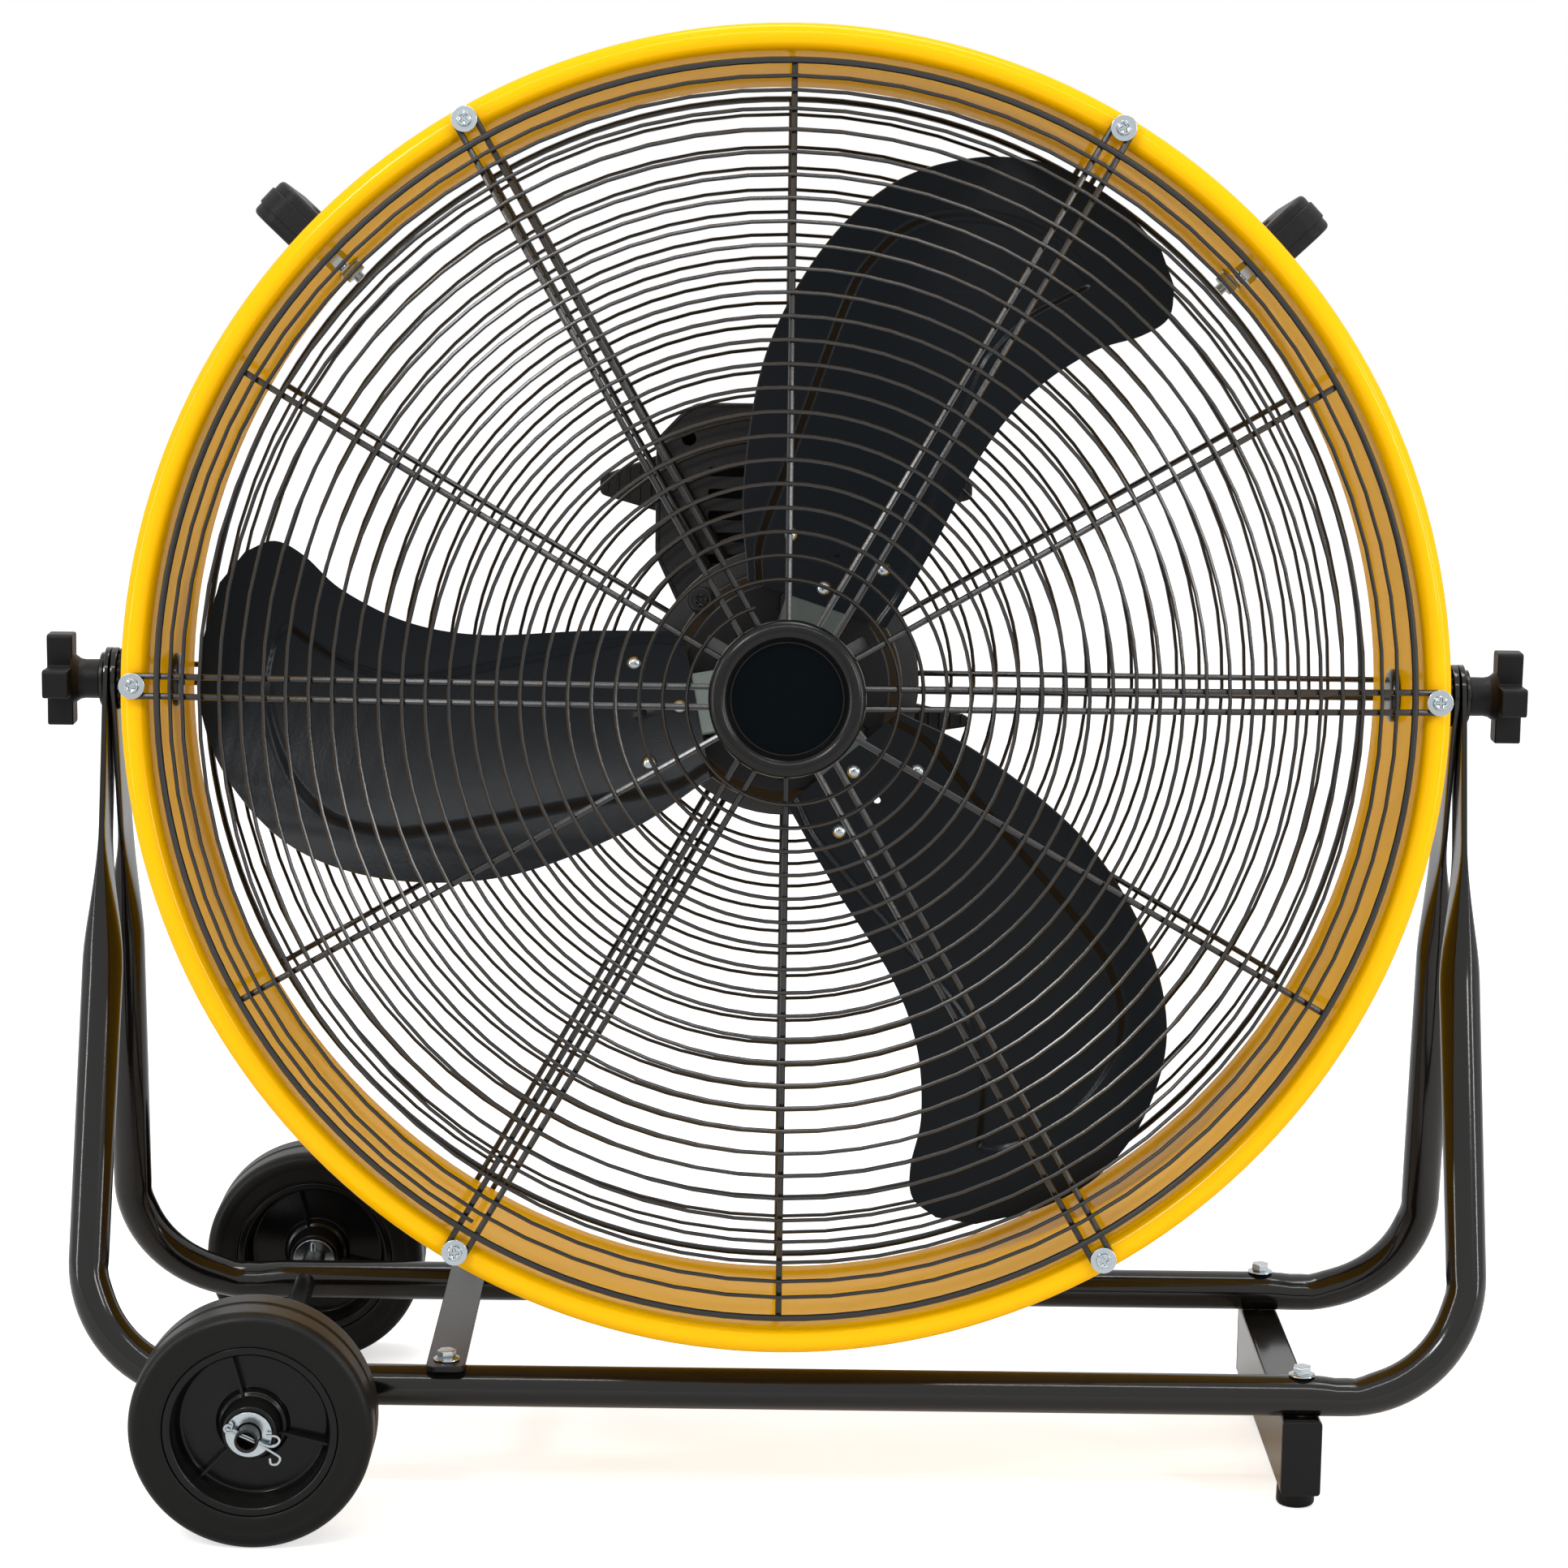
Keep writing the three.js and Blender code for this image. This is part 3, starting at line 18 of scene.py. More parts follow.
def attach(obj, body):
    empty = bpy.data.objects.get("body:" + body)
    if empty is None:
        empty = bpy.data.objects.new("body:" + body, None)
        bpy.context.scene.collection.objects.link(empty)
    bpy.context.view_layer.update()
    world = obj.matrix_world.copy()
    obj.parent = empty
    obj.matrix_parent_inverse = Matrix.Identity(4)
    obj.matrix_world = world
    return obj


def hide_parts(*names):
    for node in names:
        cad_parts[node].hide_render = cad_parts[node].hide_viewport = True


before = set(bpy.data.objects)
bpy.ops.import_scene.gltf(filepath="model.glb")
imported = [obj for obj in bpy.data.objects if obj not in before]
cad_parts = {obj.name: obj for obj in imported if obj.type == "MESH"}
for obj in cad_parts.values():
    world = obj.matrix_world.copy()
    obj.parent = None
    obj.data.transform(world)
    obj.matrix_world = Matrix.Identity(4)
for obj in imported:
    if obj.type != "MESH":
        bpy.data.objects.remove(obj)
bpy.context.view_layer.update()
scene = bpy.context.scene

# %% [markdown]
# ## Camera
# A fan like this is photographed with a long lens from a little above its middle, here looking
# down by ten degrees. A camera could be aimed with a Track To constraint, but that gives no roll.
# So its right, up and backward directions are worked out and become the columns of its matrix.

# %% Camera
FRAME_PIXELS = 1932
FOCAL_PIXELS = 5150
SENSOR = 36
CAMERA_PLACE = (-0.0153, -2.1718, 0.7457)
pitch, yaw, roll = (math.radians(a) for a in (9.98, 0.403, 0.81))

forward = Vector((math.sin(yaw) * math.cos(pitch), math.cos(yaw) * math.cos(pitch), -math.sin(pitch)))
level = Vector((math.cos(yaw), -math.sin(yaw), 0))
upward = level.cross(forward)
right = level * math.cos(roll) + upward * math.sin(roll)
up = upward * math.cos(roll) - level * math.sin(roll)

camera_data = bpy.data.cameras.new("camera")
camera_data.sensor_width = SENSOR
camera_data.lens = FOCAL_PIXELS / FRAME_PIXELS * SENSOR
camera = bpy.data.objects.new("camera", camera_data)
turned_as_seen = Matrix((right, up, -forward)).transposed().to_4x4()
camera.matrix_world = Matrix.Translation(CAMERA_PLACE) @ turned_as_seen
scene.collection.objects.link(camera)
scene.camera = camera
print("lens", round(camera_data.lens, 2), "mm")

# %% [markdown]
# ## Light and background
# The fan stands in a white studio. Its enamelled tubes and wires show thin highlight lines, so
# beside the soft lamps there are three long narrow ones. An image of a studio could light it too,
# but lamps are plain to read and to change. The world is white for what the camera and the glossy
# surfaces see, and dimmer as a source of light.


# %% Helpers for node trees
def link_nodes(tree, *pairs):
    for source, target in pairs:
        tree.links.new(source, target)


def node(tree, kind, **settings):
    made_node = tree.nodes.new(kind)
    for key, value in settings.items():
        if key in made_node.inputs:
            made_node.inputs[key].default_value = value
        else:
            setattr(made_node, key, value)
    return made_node


# %% World
WORLD_LIGHT = 0.62
world = bpy.data.worlds.new("studio")
scene.world = world
world.use_nodes = True
tree = world.node_tree
tree.nodes.clear()
path = node(tree, "ShaderNodeLightPath")
seen = node(tree, "ShaderNodeMath", operation="MAXIMUM")
seen_too = node(tree, "ShaderNodeMath", operation="MAXIMUM")
dim = node(tree, "ShaderNodeBackground", Color=(1, 1, 1, 1), Strength=WORLD_LIGHT)
white = node(tree, "ShaderNodeBackground", Color=(1, 1, 1, 1), Strength=1.0)
pick = node(tree, "ShaderNodeMixShader")
out = node(tree, "ShaderNodeOutputWorld")
link_nodes(
    tree,
    (path.outputs["Is Camera Ray"], seen.inputs[0]),
    (path.outputs["Is Transmission Ray"], seen.inputs[1]),
    (seen.outputs[0], seen_too.inputs[0]),
    (path.outputs["Is Glossy Ray"], seen_too.inputs[1]),
    (seen_too.outputs[0], pick.inputs[0]),
    (dim.outputs[0], pick.inputs[1]),
    (white.outputs[0], pick.inputs[2]),
    (pick.outputs[0], out.inputs[0]),
)
scene.view_settings.view_transform = "Standard"


# %% Lamps
def lamp(name, place, aim, size, power):
    data = bpy.data.lights.new(name, "AREA")
    data.shape = "RECTANGLE"
    data.size, data.size_y = size
    data.energy = power
    lamp_object = bpy.data.objects.new(name, data)
    lamp_object.location = place
    lamp_object.rotation_euler = (Vector(aim) - Vector(place)).to_track_quat("-Z", "Y").to_euler()
    scene.collection.objects.link(lamp_object)


LIT_POINT = (0, 0, 0.4)
for name, place, size, power in (
    ("key", (-1.4, -2.2, 2.3), (0.5, 0.5), 24),
    ("fill", (1.8, -2.0, 1.2), (0.3, 0.8), 12),
    ("top", (0.2, 0.3, 2.6), (1.4, 0.5), 20),
    ("left strip", (-2.2, -1.0, 0.9), (0.14, 1.8), 14),
    ("right strip", (2.2, -1.0, 0.9), (0.14, 1.8), 14),
    ("upper strip", (0, -1.5, 2.2), (2.4, 0.12), 12),
):
    lamp(name, place, LIT_POINT, size, power)
    print(name, "lamp:", power, "W")

# %% [markdown]
# The floor is a pale sheet of studio paper. A curved backdrop would hide its far edge as well, but
# a flat plane is simpler: it takes the soft shadow, and for the camera it also glows a little, so
# that it runs into the white background without an edge.

# %% Floor
FLOOR_SIZE = 14
FLOOR_GLOW = 0.6
bm = bmesh.new()
bmesh.ops.create_grid(bm, x_segments=1, y_segments=1, size=FLOOR_SIZE / 2)
floor_mesh = bpy.data.meshes.new("floor")
bm.to_mesh(floor_mesh)
bm.free()
floor = bpy.data.objects.new("floor", floor_mesh)
scene.collection.objects.link(floor)

floor_paint = bpy.data.materials.new("pale_floor")
floor_paint.use_nodes = True
tree = floor_paint.node_tree
tree.nodes.clear()
path = node(tree, "ShaderNodeLightPath")
matt = node(tree, "ShaderNodeBsdfDiffuse", Color=(0.86, 0.86, 0.86, 1))
glow = node(tree, "ShaderNodeEmission", Color=(1, 1, 1, 1))
level_in = node(tree, "ShaderNodeMath", operation="MULTIPLY")
level_in.inputs[1].default_value = FLOOR_GLOW
sum_up = node(tree, "ShaderNodeAddShader")
out = node(tree, "ShaderNodeOutputMaterial")
link_nodes(
    tree,
    (path.outputs["Is Camera Ray"], level_in.inputs[0]),
    (level_in.outputs[0], glow.inputs["Strength"]),
    (matt.outputs[0], sum_up.inputs[0]),
    (glow.outputs[0], sum_up.inputs[1]),
    (sum_up.outputs[0], out.inputs[0]),
)
floor_mesh.materials.append(floor_paint)
print("floor", FLOOR_SIZE, "m wide")

# %% [markdown]
# ## Finishes
# Paint, plated steel, moulded plastic and rubber all vary a little over a surface. It could be
# painted by hand on each piece, but procedural noise follows any shape and stays sharp close up.
# So the variation is one shared node group: a fine noise bumps the surface, and a broad one shifts
# its colour and its roughness. A second group lays a trace of dust on what faces up. The shader
# stays in each material, with its own values.


# %% A new node group
def new_group(name, inputs, outputs):
    group = bpy.data.node_groups.new(name, "ShaderNodeTree")
    for label, kind, value in inputs:
        socket = group.interface.new_socket(name=label, in_out="INPUT", socket_type=kind)
        socket.default_value = value
    for label, kind in outputs:
        group.interface.new_socket(name=label, in_out="OUTPUT", socket_type=kind)
    return group, node(group, "NodeGroupInput"), node(group, "NodeGroupOutput")


# %% Grain and clouds
CLOUD_TINT = 1.6


def make_surface_group():
    group, given, result = new_group(
        "surface_grain",
        [
            ("Color", "NodeSocketColor", (0.5, 0.5, 0.5, 1)),
            ("Roughness", "NodeSocketFloat", 0.4),
            ("Grain Scale", "NodeSocketFloat", 400.0),
            ("Grain Depth", "NodeSocketFloat", 0.1),
            ("Cloud", "NodeSocketFloat", 0.1),
        ],
        [
            ("Color", "NodeSocketColor"),
            ("Roughness", "NodeSocketFloat"),
            ("Normal", "NodeSocketVector"),
        ],
    )
    where = node(group, "ShaderNodeTexCoord")
    fine = node(group, "ShaderNodeTexNoise", Detail=3.0, Roughness=0.6)
    broad = node(group, "ShaderNodeTexNoise", Scale=9.0, Detail=4.0, Roughness=0.6)
    bump = node(group, "ShaderNodeBump", Distance=0.0004)
    centre = node(group, "ShaderNodeMath", operation="SUBTRACT")
    centre.inputs[1].default_value = 0.5
    amount = node(group, "ShaderNodeMath", operation="MULTIPLY")
    shade = node(group, "ShaderNodeMath", operation="MULTIPLY_ADD")
    shade.inputs[1].default_value = CLOUD_TINT
    shade.inputs[2].default_value = 1.0
    tint = node(group, "ShaderNodeVectorMath", operation="SCALE")
    rough = node(group, "ShaderNodeMath", operation="ADD")
    link_nodes(
        group,
        (where.outputs["Object"], fine.inputs["Vector"]),
        (where.outputs["Object"], broad.inputs["Vector"]),
        (given.outputs["Grain Scale"], fine.inputs["Scale"]),
        (fine.outputs["Fac"], bump.inputs["Height"]),
        (given.outputs["Grain Depth"], bump.inputs["Strength"]),
        (broad.outputs["Fac"], centre.inputs[0]),
        (centre.outputs[0], amount.inputs[0]),
        (given.outputs["Cloud"], amount.inputs[1]),
        (amount.outputs[0], shade.inputs[0]),
        (given.outputs["Color"], tint.inputs[0]),
        (shade.outputs[0], tint.inputs["Scale"]),
        (given.outputs["Roughness"], rough.inputs[0]),
        (amount.outputs[0], rough.inputs[1]),
        (tint.outputs[0], result.inputs["Color"]),
        (rough.outputs[0], result.inputs["Roughness"]),
        (bump.outputs[0], result.inputs["Normal"]),
    )
    return group


# %% Settled dust
DUST_COLOR = (0.42, 0.40, 0.36, 1)


def make_dust_group():
    group, given, result = new_group(
        "settled_dust",
        [
            ("Color", "NodeSocketColor", (0.5, 0.5, 0.5, 1)),
            ("Roughness", "NodeSocketFloat", 0.4),
            ("Amount", "NodeSocketFloat", 0.1),
        ],
        [("Color", "NodeSocketColor"), ("Roughness", "NodeSocketFloat")],
    )
    where = node(group, "ShaderNodeTexCoord")
    facing = node(group, "ShaderNodeNewGeometry")
    split = node(group, "ShaderNodeSeparateXYZ")
    up_facing = node(group, "ShaderNodeMapRange", clamp=True)
    up_facing.inputs["From Min"].default_value = 0.3
    up_facing.inputs["From Max"].default_value = 1.0
    patches = node(group, "ShaderNodeTexNoise", Scale=55.0, Detail=6.0, Roughness=0.7)
    mask = node(group, "ShaderNodeMath", operation="MULTIPLY")
    dusted = node(group, "ShaderNodeMath", operation="MULTIPLY")
    mix = node(group, "ShaderNodeMix", data_type="RGBA")
    rough = node(group, "ShaderNodeMath", operation="MULTIPLY_ADD")
    rough.inputs[1].default_value = 0.5
    # A Mix node has sockets for every kind of data: these are its two colours and its result.
    colour_in, dust_in, colour_out = mix.inputs[6], mix.inputs[7], mix.outputs[2]
    dust_in.default_value = DUST_COLOR
    link_nodes(
        group,
        (facing.outputs["Normal"], split.inputs[0]),
        (split.outputs["Z"], up_facing.inputs["Value"]),
        (where.outputs["Object"], patches.inputs["Vector"]),
        (up_facing.outputs["Result"], mask.inputs[0]),
        (patches.outputs["Fac"], mask.inputs[1]),
        (mask.outputs[0], dusted.inputs[0]),
        (given.outputs["Amount"], dusted.inputs[1]),
        (dusted.outputs[0], mix.inputs[0]),
        (given.outputs["Color"], colour_in),
        (dusted.outputs[0], rough.inputs[0]),
        (given.outputs["Roughness"], rough.inputs[2]),
        (colour_out, result.inputs["Color"]),
        (rough.outputs[0], result.inputs["Roughness"]),
    )
    return group


GRAIN = make_surface_group()
DUST = make_dust_group()
print("node groups:", GRAIN.name, DUST.name)

# %% [markdown]
# A finish is one Principled shader. What is the same all over the surface, such as metal or coat,
# is set on its own sockets, and the two groups feed colour, roughness and normal. The yellow enamel
# is a matt colour under a thin clear coat, which keeps it yellow where it is seen at a low angle.
# The black enamels differ mainly in how glossy they are.


# %% A finish
COAT_ROUGHNESS = 0.1


def finish(name, color, roughness, metallic=0.0, specular=0.5, coat=0.0, grain=(400.0, 0.1), cloud=0.1, dust=0.05):
    material = bpy.data.materials.new(name)
    material.use_nodes = True
    tree = material.node_tree
    shader = tree.nodes["Principled BSDF"]
    shader.inputs["Metallic"].default_value = metallic
    shader.inputs["Specular IOR Level"].default_value = specular
    shader.inputs["Coat Weight"].default_value = coat
    shader.inputs["Coat Roughness"].default_value = COAT_ROUGHNESS
    surface = node(tree, "ShaderNodeGroup", node_tree=GRAIN)
    surface.inputs["Color"].default_value = (*color, 1)
    surface.inputs["Roughness"].default_value = roughness
    surface.inputs["Grain Scale"].default_value, surface.inputs["Grain Depth"].default_value = grain
    surface.inputs["Cloud"].default_value = cloud
    settled = node(tree, "ShaderNodeGroup", node_tree=DUST)
    settled.inputs["Amount"].default_value = dust
    link_nodes(
        tree,
        (surface.outputs["Color"], settled.inputs["Color"]),
        (surface.outputs["Roughness"], settled.inputs["Roughness"]),
        (settled.outputs["Color"], shader.inputs["Base Color"]),
        (settled.outputs["Roughness"], shader.inputs["Roughness"]),
        (surface.outputs["Normal"], shader.inputs["Normal"]),
    )
    return material


def non_metal(name, color, roughness, specular, grain, cloud, dust):
    return finish(name, color, roughness, specular=specular, grain=grain, cloud=cloud, dust=dust)


def bare_metal(name, color, roughness, grain, cloud):
    return finish(name, color, roughness, metallic=1.0, grain=grain, cloud=cloud)


# %% Enamels
YELLOW = finish(
    "yellow_enamel", (0.92, 0.47, 0.0), 0.3, specular=0.0, coat=0.25, grain=(260.0, 0.05), cloud=0.03, dust=0.0
)
TUBE_BLACK = non_metal("tube_enamel", (0.0035, 0.003, 0.0025), 0.12, 0.4, (220.0, 0.1), 0.05, 0.02)
WIRE_BLACK = non_metal("wire_enamel", (0.008, 0.0075, 0.0075), 0.2, 0.5, (500.0, 0.1), 0.05, 0.0)
BLADE_BLACK = non_metal("blade_enamel", (0.0018, 0.0035, 0.0055), 0.2, 0.14, (500.0, 0.1), 0.04, 0.02)
BELL_BLACK = non_metal("bell_enamel", (0.006, 0.006, 0.007), 0.3, 0.22, (600.0, 0.3), 0.06, 0.04)

# %% Metals
ZINC = bare_metal("zinc_plate", (0.46, 0.51, 0.54), 0.2, (900.0, 0.08), 0.3)
# The galvanised plate's colour is darkened far below bare zinc: painted shade, for the plate lies behind the
# blades and the cap.
GALVANISED_IN_SHADE = bare_metal("galvanised_plate_in_painted_shade", (0.08, 0.092, 0.085), 0.3, (300.0, 0.2), 0.9)
STEEL = bare_metal("bare_steel", (0.36, 0.36, 0.36), 0.36, (700.0, 0.15), 0.3)
# Dark oxide steel. On the zinc washers by the clamp knobs the same dark colour is painted shade.
DARK_STEEL = bare_metal("oxide_steel_and_painted_shade", (0.03, 0.03, 0.03), 0.26, (700.0, 0.15), 0.2)

# %% Plastics and rubber
DUSTY = 0.05
PLASTIC = non_metal("moulded_plastic", (0.006, 0.006, 0.007), 0.42, 0.16, (1100.0, 0.4), 0.05, DUSTY)
HOUSING_PLASTIC = non_metal("housing_plastic", (0.016, 0.016, 0.018), 0.4, 0.3, (1100.0, 0.4), 0.05, DUSTY)
GLOSS_PLASTIC = non_metal("smooth_plastic", (0.005, 0.005, 0.006), 0.24, 0.2, (300.0, 0.08), 0.06, DUSTY)
CAP_PLASTIC = non_metal("cap_plastic", (0.004, 0.004, 0.004), 0.22, 0.24, (900.0, 0.1), 0.05, 0.0)
FACE_DISC = non_metal("cap_disc_film", (0.0012, 0.0025, 0.0032), 0.4, 0.03, (900.0, 0.05), 0.05, 0.0)
WHEEL_PLASTIC = non_metal("wheel_plastic", (0.003, 0.003, 0.003), 0.2, 0.2, (300.0, 0.1), 0.06, 0.03)
TYRE = non_metal("tyre_rubber", (0.004, 0.004, 0.0035), 0.36, 0.16, (650.0, 0.2), 0.1, 0.04)
print(len(bpy.data.materials), "materials")

# %% [markdown]
# ## Modelling helpers
# Most pieces of the fan are turned, bent from wire or tube, or cut from plate. Each could be
# modelled by itself, but a few helpers that copy these workshop operations make nearly all of
# them. They work on a bmesh in millimetres. `made` ends a piece: doubles are merged, faces turned
# outwards, the shape put in its place in metres, the object hung on the body it rides on, and the
# solid it stands for hidden.

# %% Places
TILT = math.radians(6.5)
PIVOT_HEIGHT = 415
HERE = Matrix.Identity(4)
DRUM = Matrix.Translation((0, 0, PIVOT_HEIGHT)) @ Matrix.Rotation(-TILT, 4, "X")
ALONG_X = Matrix.Rotation(-math.pi / 2, 4, "Z")
ALONG_Z = Matrix.Rotation(math.pi / 2, 4, "X")
ALONG_Y = Matrix.Rotation(-math.pi / 2, 4, "X")


def at(x, y, z):
    return Matrix.Translation((x, y, z))


def about(axis, degrees):
    return Matrix.Rotation(math.radians(degrees), 4, axis)


def circle(radius, steps, cx=0, cy=0):
    turns = [2 * math.pi * i / steps for i in range(steps)]
    return [(cx + radius * math.cos(a), cy + radius * math.sin(a)) for a in turns]


def arc(cx, cy, radius, start, end, steps):
    turns = [math.radians(start + (end - start) * i / steps) for i in range(steps + 1)]
    return [(cx + radius * math.cos(a), cy + radius * math.sin(a)) for a in turns]


# %% Ending a piece
METRES = Matrix.Scale(0.001, 4)
MERGE_GAP = 0.002


def made(bm, name, body, material, stands_for=(), place=HERE, sharp=35, weighted=True):
    bmesh.ops.remove_doubles(bm, verts=bm.verts, dist=MERGE_GAP)
    bmesh.ops.recalc_face_normals(bm, faces=bm.faces)
    bmesh.ops.transform(bm, matrix=METRES @ place, verts=bm.verts)
    mesh = bpy.data.meshes.new(name)
    bm.to_mesh(mesh)
    bm.free()
    mesh.polygons.foreach_set("use_smooth", [True] * len(mesh.polygons))
    mesh.set_sharp_from_angle(angle=math.radians(sharp))
    mesh.materials.append(material)
    piece = bpy.data.objects.new(name, mesh)
    scene.collection.objects.link(piece)
    if weighted:
        flat_faces = piece.modifiers.new("flat faces stay flat", "WEIGHTED_NORMAL")
        flat_faces.keep_sharp = True
    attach(piece, body)
    if stands_for:
        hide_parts(*([stands_for] if isinstance(stands_for, str) else stands_for))
    print(name, len(mesh.polygons), "faces")
    return piece


# %% Rounding an outline
def rounded(points, radius, closed=True, steps=3):
    """The same outline with each corner replaced by a short curve."""
    result = []
    count = len(points)
    for i, point in enumerate(points):
        corner = Vector(point)
        if not closed and i in (0, count - 1):
            result.append(tuple(corner))
            continue
        before, after = Vector(points[i - 1]) - corner, Vector(points[(i + 1) % count]) - corner
        start = corner + before.normalized() * min(radius, before.length * 0.45)
        end = corner + after.normalized() * min(radius, after.length * 0.45)
        for step in range(steps + 1):
            t = step / steps
            result.append(tuple(start * (1 - t) ** 2 + corner * 2 * t * (1 - t) + end * t * t))
    return result


# %% Turning on a lathe
SEAM_GAP = 0.0005


def turned(bm, profile, steps=64, closed=False, place=HERE):
    """Spins a profile of (radius, height) points round the Y axis."""
    before = set(bm.verts)
    line = [bm.verts.new((r, h, 0)) for r, h in profile]
    ends = line[1:] + line[:1] if closed else line[1:]
    edges = [bm.edges.new(pair) for pair in zip(line, ends)]
    bmesh.ops.spin(
        bm,
        geom=line + edges,
        cent=(0, 0, 0),
        axis=(0, 1, 0),
        angle=2 * math.pi,
        steps=steps,
        use_merge=True,
        use_duplicate=False,
    )
    fresh = [v for v in bm.verts if v not in before]
    bmesh.ops.remove_doubles(bm, verts=fresh, dist=SEAM_GAP)
    fresh = [v for v in bm.verts if v not in before]
    bmesh.ops.transform(bm, matrix=place, verts=fresh)
    return fresh


# %% Plates and blocks
def shrunk(loop, distance):
    """The loop with every side moved inwards, or outwards where the distance is negative."""
    points = [Vector(p) for p in loop]
    area = sum(a.x * b.y - b.x * a.y for a, b in zip(points, points[1:] + points[:1]))
    side = math.copysign(1, area)
    result = []
    for before, here, after in zip(points[-1:] + points[:-1], points, points[1:] + points[:1]):
        first, second = (here - before).normalized(), (after - here).normalized()
        normal = Vector((-first.y - second.y, first.x + second.x)).normalized() * side
        across = max(0.4, normal.dot(Vector((-first.y, first.x)) * side))
        result.append(tuple(here + normal * distance / across))
    return result


def pressed(bm, outline, thickness, place=HERE, edge=0.0, holes=()):
    """A plate cut to an outline, from Z = 0 upwards, with rounded edges."""
    turns = [math.radians(30 * i) for i in range(4)] if edge else []
    lower = [(edge * (1 - math.sin(a)), edge * (1 - math.cos(a))) for a in turns] or [(0, 0)]
    levels = lower + [(inset, thickness - height) for inset, height in reversed(lower)]
    rims = []
    for loop, side in ((outline, 1), *((hole, -1) for hole in holes)):
        rings = []
        for inset, height in levels:
            outline_here = shrunk(loop, side * inset)
            rings.append([bm.verts.new(place @ Vector((x, y, height))) for x, y in outline_here])
        for low, high in zip(rings, rings[1:]):
            for i in range(len(low)):
                bm.faces.new((low[i - 1], low[i], high[i], high[i - 1]))
        rims.append((rings[0], rings[-1]))
    for end in (0, 1):
        if holes:
            loops = [(a, b) for rim in rims for a, b in zip(rim[end], rim[end][1:] + rim[end][:1])]
            bmesh.ops.triangle_fill(bm, use_beauty=True, edges=[bm.edges.get(pair) for pair in loops])
        else:
            bm.faces.new(rims[0][end])


def block(bm, size, place=HERE, edge=0.0, segments=2):
    """A box round the origin, with soft edges."""
    before = set(bm.verts)
    made_box = bmesh.ops.create_cube(bm, size=1)
    bmesh.ops.scale(bm, vec=size, verts=made_box["verts"])
    if edge:
        edges = list({e for v in made_box["verts"] for e in v.link_edges})
        bmesh.ops.bevel(
            bm, geom=edges, offset=edge, segments=segments, profile=0.5, affect="EDGES", material=-1
        )
    fresh = [v for v in bm.verts if v not in before]
    bmesh.ops.transform(bm, matrix=place, verts=fresh)
    return fresh


# %% [markdown]
# Wire is drawn round and then bent. A circle could be extruded along each path, but a curve with a
# round bevel gives that directly and keeps its section square to the path. The curve is turned
# into faces at once, so that one piece can hold many wires.


# %% Bending wire
def strand(bm, points, radius, closed=False):
    curve = bpy.data.curves.new("strand", "CURVE")
    curve.dimensions = "3D"
    curve.bevel_depth = radius
    curve.bevel_resolution = 2
    curve.use_fill_caps = True
    spline = curve.splines.new("POLY")
    spline.points.add(len(points) - 1)
    for point, co in zip(spline.points, points):
        point.co = (*co, 1)
    spline.use_cyclic_u = closed
    holder = bpy.data.objects.new("strand", curve)
    scene.collection.objects.link(holder)
    mesh = holder.to_mesh()
    bm.from_mesh(mesh)
    holder.to_mesh_clear()
    bpy.data.objects.remove(holder)
    bpy.data.curves.remove(curve)


def eased_path(points, steps=8):
    """A Catmull-Rom curve through the points, as plain vectors."""
    knots = [Vector(p) for p in points]
    knots = [2 * knots[0] - knots[1], *knots, 2 * knots[-1] - knots[-2]]
    result = []
    for a, b, c, d in zip(knots, knots[1:], knots[2:], knots[3:]):
        for i in range(steps):
            t = i / steps
            square, cube = 2 * a - 5 * b + 4 * c - d, 3 * b - a - 3 * c + d
            result.append(0.5 * (2 * b + (c - a) * t + square * t**2 + cube * t**3))
    return [*result, knots[-2]]


# %% [markdown]
# ## Frame tubes
# Each U is one round tube, bent at two corners and squeezed flat where it meets the pivot. A
# bevelled curve would give the bends, but not the flat ends, because its section never changes. So
# the tube is lofted: circles are set along the path, pressed to shape and bridged. Where a real
# bend starts and ends its inner side gives way a little, and so it does here.

# %% Lofting
TUBE_R = 10.65
LEG_DROP = math.hypot(93, PIVOT_HEIGHT - 61.5)
LEG_LEAN = math.degrees(math.atan2(93, PIVOT_HEIGHT - 61.5))


def lofted(bm, stations, sides=28):
    """Stations are (place, half width, half height, squareness); each is a ring in its XY plane."""
    rings = []
    for place, wide, high, power in stations:
        verts = bmesh.ops.create_circle(bm, cap_ends=False, segments=sides, radius=1)["verts"]
        rings.append(list({e for v in verts for e in v.link_edges}))
        for v in verts:
            x = math.copysign(abs(v.co.x) ** power, v.co.x) * wide
            y = math.copysign(abs(v.co.y) ** power, v.co.y) * high
            v.co = place @ Vector((x, y, 0))
    for first, second in zip(rings, rings[1:]):
        bmesh.ops.bridge_loops(bm, edges=first + second)
    for ring in (rings[0], rings[-1]):
        bmesh.ops.contextual_create(bm, geom=ring)


# %% Frame tubes
BEND_R = 62
LEG_X = 357.5
LEG_TOP_X = 354.5
EYE_HALF_W = 16.7
EYE_HALF_T = 1.7
EYE_LENGTH = 78
SQUEEZE_LENGTH = 74


def kink(turn, where, deep):
    return deep * math.exp(-(((turn - where) / 7) ** 2))


def dented(row, dent):
    place, thick, wide, power = row
    return place @ at(dent, 0, 0), thick - dent, wide + dent * 0.4, power


